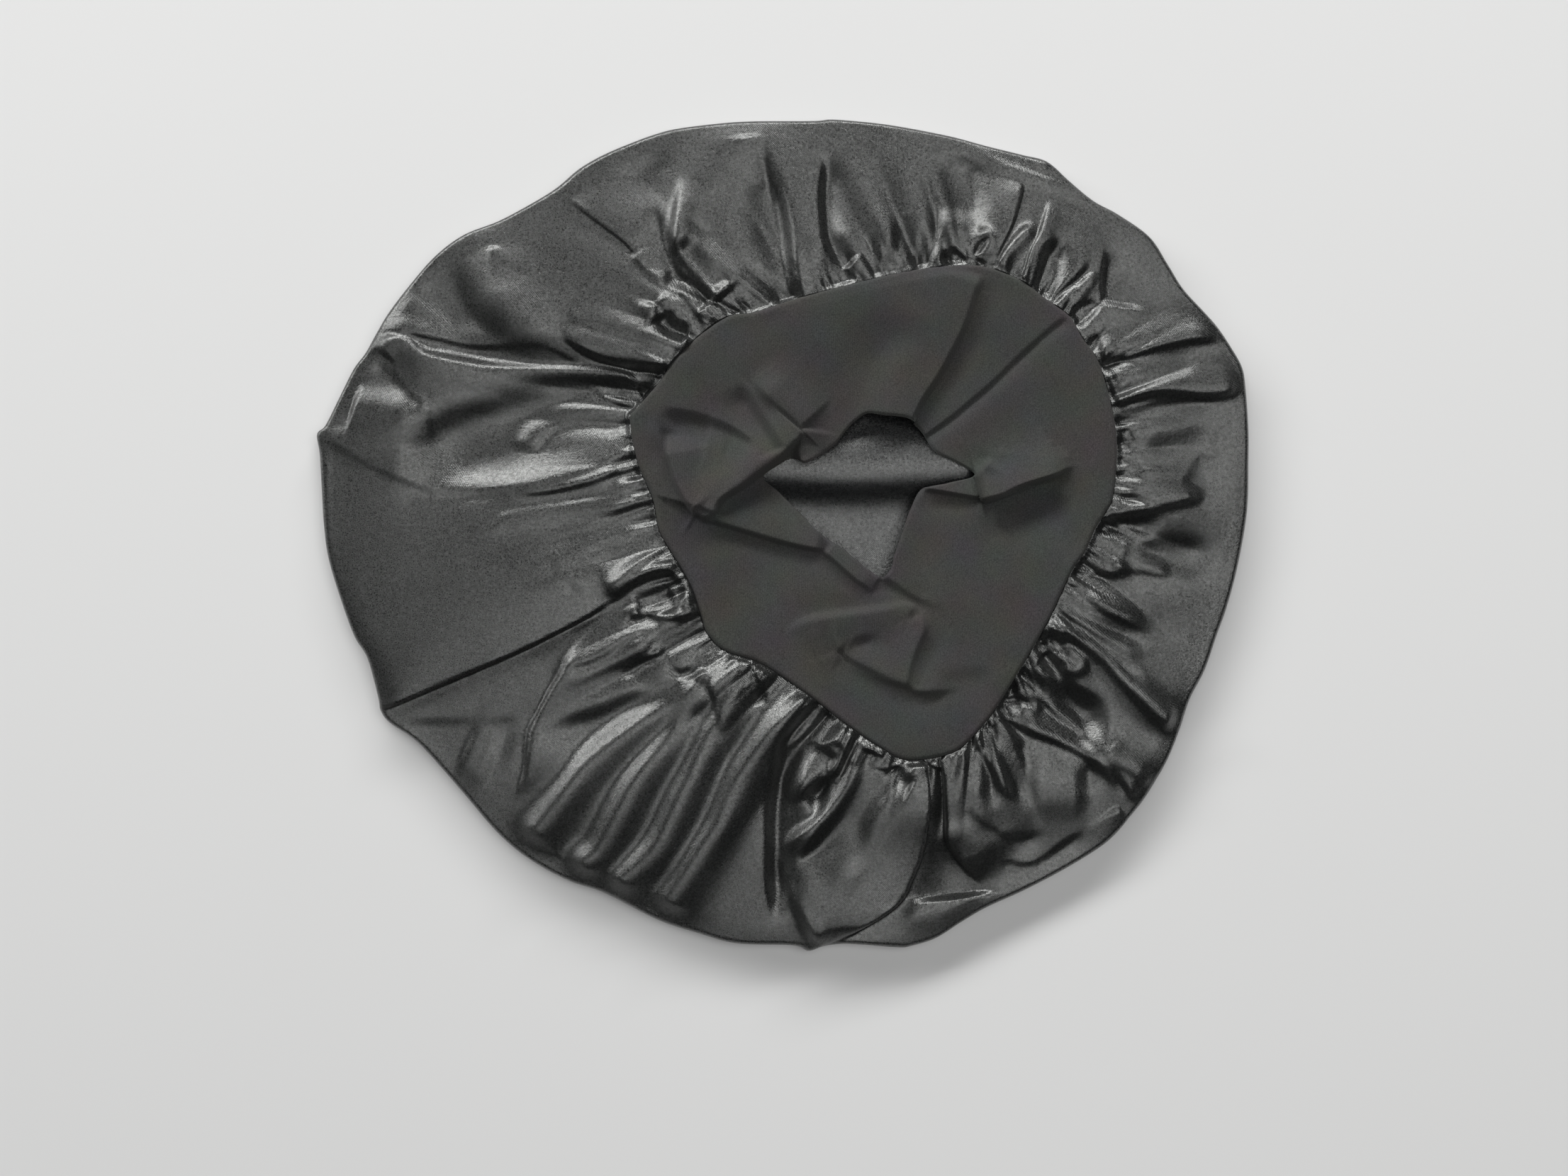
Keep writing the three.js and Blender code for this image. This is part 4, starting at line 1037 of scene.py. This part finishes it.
def band_rows():
    """Two plies of knit from the seam to the folded free edge: allowance, upper ply, and lower ply with its own."""
    band_seam, _, _ = outline(SEAM_PX, BAND_LINES)
    mouth_line, _, _ = outline(MOUTH_PX, BAND_LINES)
    v = crowded(BAND_ROWS, BAND_CROWDING)[:, None]
    run = mouth_line - band_seam
    length = np.linalg.norm(run, axis=1)
    xy = band_seam + v[..., None] * run
    places = xy.reshape(-1, 2)
    rise, shift = press(places, BAND_FOLDS, BAND_GAIN, BAND_LIP)
    rise += soft_noise(places, BAND_NOISE)
    from_seam = v * length
    away = smoothstep(0, 5, from_seam)
    shoulder = rounded(SHOULDER, from_seam) - SHOULDER
    lip = rounded(FREE_EDGE, length - from_seam) - FREE_EDGE
    base = SEAM_HEIGHT + BAND_ABOVE_SEAM + (MOUTH_HEIGHT - SEAM_HEIGHT - BAND_ABOVE_SEAM) * smoothstep(0, 1, v)
    z = base + shoulder + rise.reshape(away.shape) * away
    xy = xy + shift.reshape(xy.shape) * away[..., None]
    upper = with_height(xy, z + lip)
    lower = with_height(xy, z - BAND_THICKNESS - lip)[::-1]
    lower = lower[len(lower) % 2::2]
    return np.concatenate([dropped(upper[0], BAND_TUCK), upper, lower, dropped(lower[-1], BAND_TAIL)])


band_grid = band_rows()
band = grid_object("stretch_band_cloth", band_grid, knit)


def sewn_thread(name, places, closed):
    """Round thread through places in mm."""
    curve = bpy.data.curves.new(name, "CURVE")
    curve.dimensions = "3D"
    curve.bevel_depth = THREAD_WIDTH / 2 * MM
    curve.bevel_resolution = 1
    line = curve.splines.new("POLY")
    line.points.add(len(places) - 1)
    line.points.foreach_set("co", np.concatenate([places * MM, np.ones((len(places), 1))], 1).ravel())
    line.use_cyclic_u = closed
    curve.materials.append(thread)
    return linked(name, curve)


def overlock():
    """Loops that wind over the raw edges of band, shell and lining, all round under the seam."""
    count = round(seam_length / STITCH_PITCH) * STEPS_PER_LOOP
    line, out, _ = outline(SEAM_PX, count)
    out = out * np.sign((out * (line - middle)).sum(1))[:, None]
    number = np.arange(count)
    turn = 2 * np.pi * number / STEPS_PER_LOOP
    level = np.interp(number / count * SATIN_LINES, np.arange(SATIN_LINES), top[0, :, 2])
    xy = line + out * (LOOP_OUTWARD + LOOP_WIDTH * np.cos(turn))[:, None]
    return with_height(xy, level - LOOP_DEPTH + LOOP_HEIGHT * np.sin(turn))


def closing_zigzag():
    """Zigzag across the strip's two ends, under the band."""
    line = spline(to_mm(CLOSING_SEAM_PX), False, STITCH_PITCH / 2)[1:-2]
    along = unit(np.gradient(line, axis=0))
    side = np.where(np.arange(len(line)) % 2, ZIGZAG_REACH, -ZIGZAG_REACH)[:, None]
    xy = line + np.stack([-along[:, 1], along[:, 0]], -1) * side
    under = band_grid[len(BAND_TUCK) + BAND_ROWS:-len(BAND_TAIL)].reshape(-1, 3)
    near = np.linalg.norm(under[None, :, :2] - xy[:, None], axis=-1).argmin(1)
    return with_height(xy, under[near, 2] - THREAD_WIDTH)


overlock_thread = sewn_thread("gather_seam_stitches", overlock(), True)
closing_thread = sewn_thread("band_closing_stitches", closing_zigzag(), False)

for piece, node, name in (
    (shell, "satin_shell", "satin"), (lining, "satin_lining", "lining_satin"), (band, "stretch_band", "band_knit"),
    (overlock_thread, "gather_seam_thread", "thread"), (closing_thread, "band_closing_thread", "thread"),
):
    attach(piece, "root")
    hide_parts(node)

# Floor, lights and camera, in metres
FLOOR_HALF = 2.5
FLOOR_BELOW = 0.0003
floor_mesh = bpy.data.meshes.new("floor")
corners = [(x * FLOOR_HALF, y * FLOOR_HALF, 0) for x, y in ((-1, -1), (1, -1), (1, 1), (-1, 1))]
floor_mesh.from_pydata(corners, [], [(0, 1, 2, 3)])
floor_mesh.materials.append(Shading("pale_paper").finished({"Base Color": (0.6, 0.6, 0.595, 1), "Roughness": 0.9}))
floor = linked("floor", floor_mesh)
floor.location.z = -FLOOR_BELOW


def softbox(name, place, aim, size, watts):
    light = bpy.data.lights.new(name, "AREA")
    light.shape = "RECTANGLE"
    light.size, light.size_y = size
    light.energy = watts
    lamp = linked(name, light)
    lamp.location = place
    lamp.rotation_euler = (Vector(aim) - Vector(place)).to_track_quat("-Z", "Y").to_euler()


softbox("key", (-0.72, 1.99, 1.15), (0, 0, 0), (5.2, 0.5), 130)
softbox("overhead_front", (0.27, -0.155, 1.7), (0.27, -0.155, 0), (1.9, 0.56), 9.9)
softbox("overhead_back", (0.46, 0.39, 1.7), (0.46, 0.39, 0), (1.52, 0.53), 7.2)
softbox("overhead_right", (0.86, 0.05, 1.69), (0.86, 0.05, 0), (0.76, 0.95), 2.0)

world = bpy.data.worlds.new("studio")
bpy.context.scene.world = world
world.use_nodes = True
world.node_tree.nodes["Background"].inputs["Color"].default_value = (0.9, 0.95, 1, 1)
world.node_tree.nodes["Background"].inputs["Strength"].default_value = 0.03

camera_data = bpy.data.cameras.new("camera")
camera = bpy.data.objects.new("camera", camera_data)
bpy.context.scene.collection.objects.link(camera)
aim = to_mm((PHOTO_SIZE_PX[0] / 2, PHOTO_SIZE_PX[1] / 2)) * MM
camera.location = (aim[0], aim[1], CAMERA_HEIGHT + EDGE_LEVEL)
camera_data.sensor_fit = "HORIZONTAL"
camera_data.sensor_width = SENSOR
frame_width = PHOTO_SIZE_PX[0] / PX_PER_MM * MM
camera_data.lens = SENSOR * CAMERA_HEIGHT / frame_width
bpy.context.scene.camera = camera
bpy.context.scene.view_settings.view_transform = "Standard"
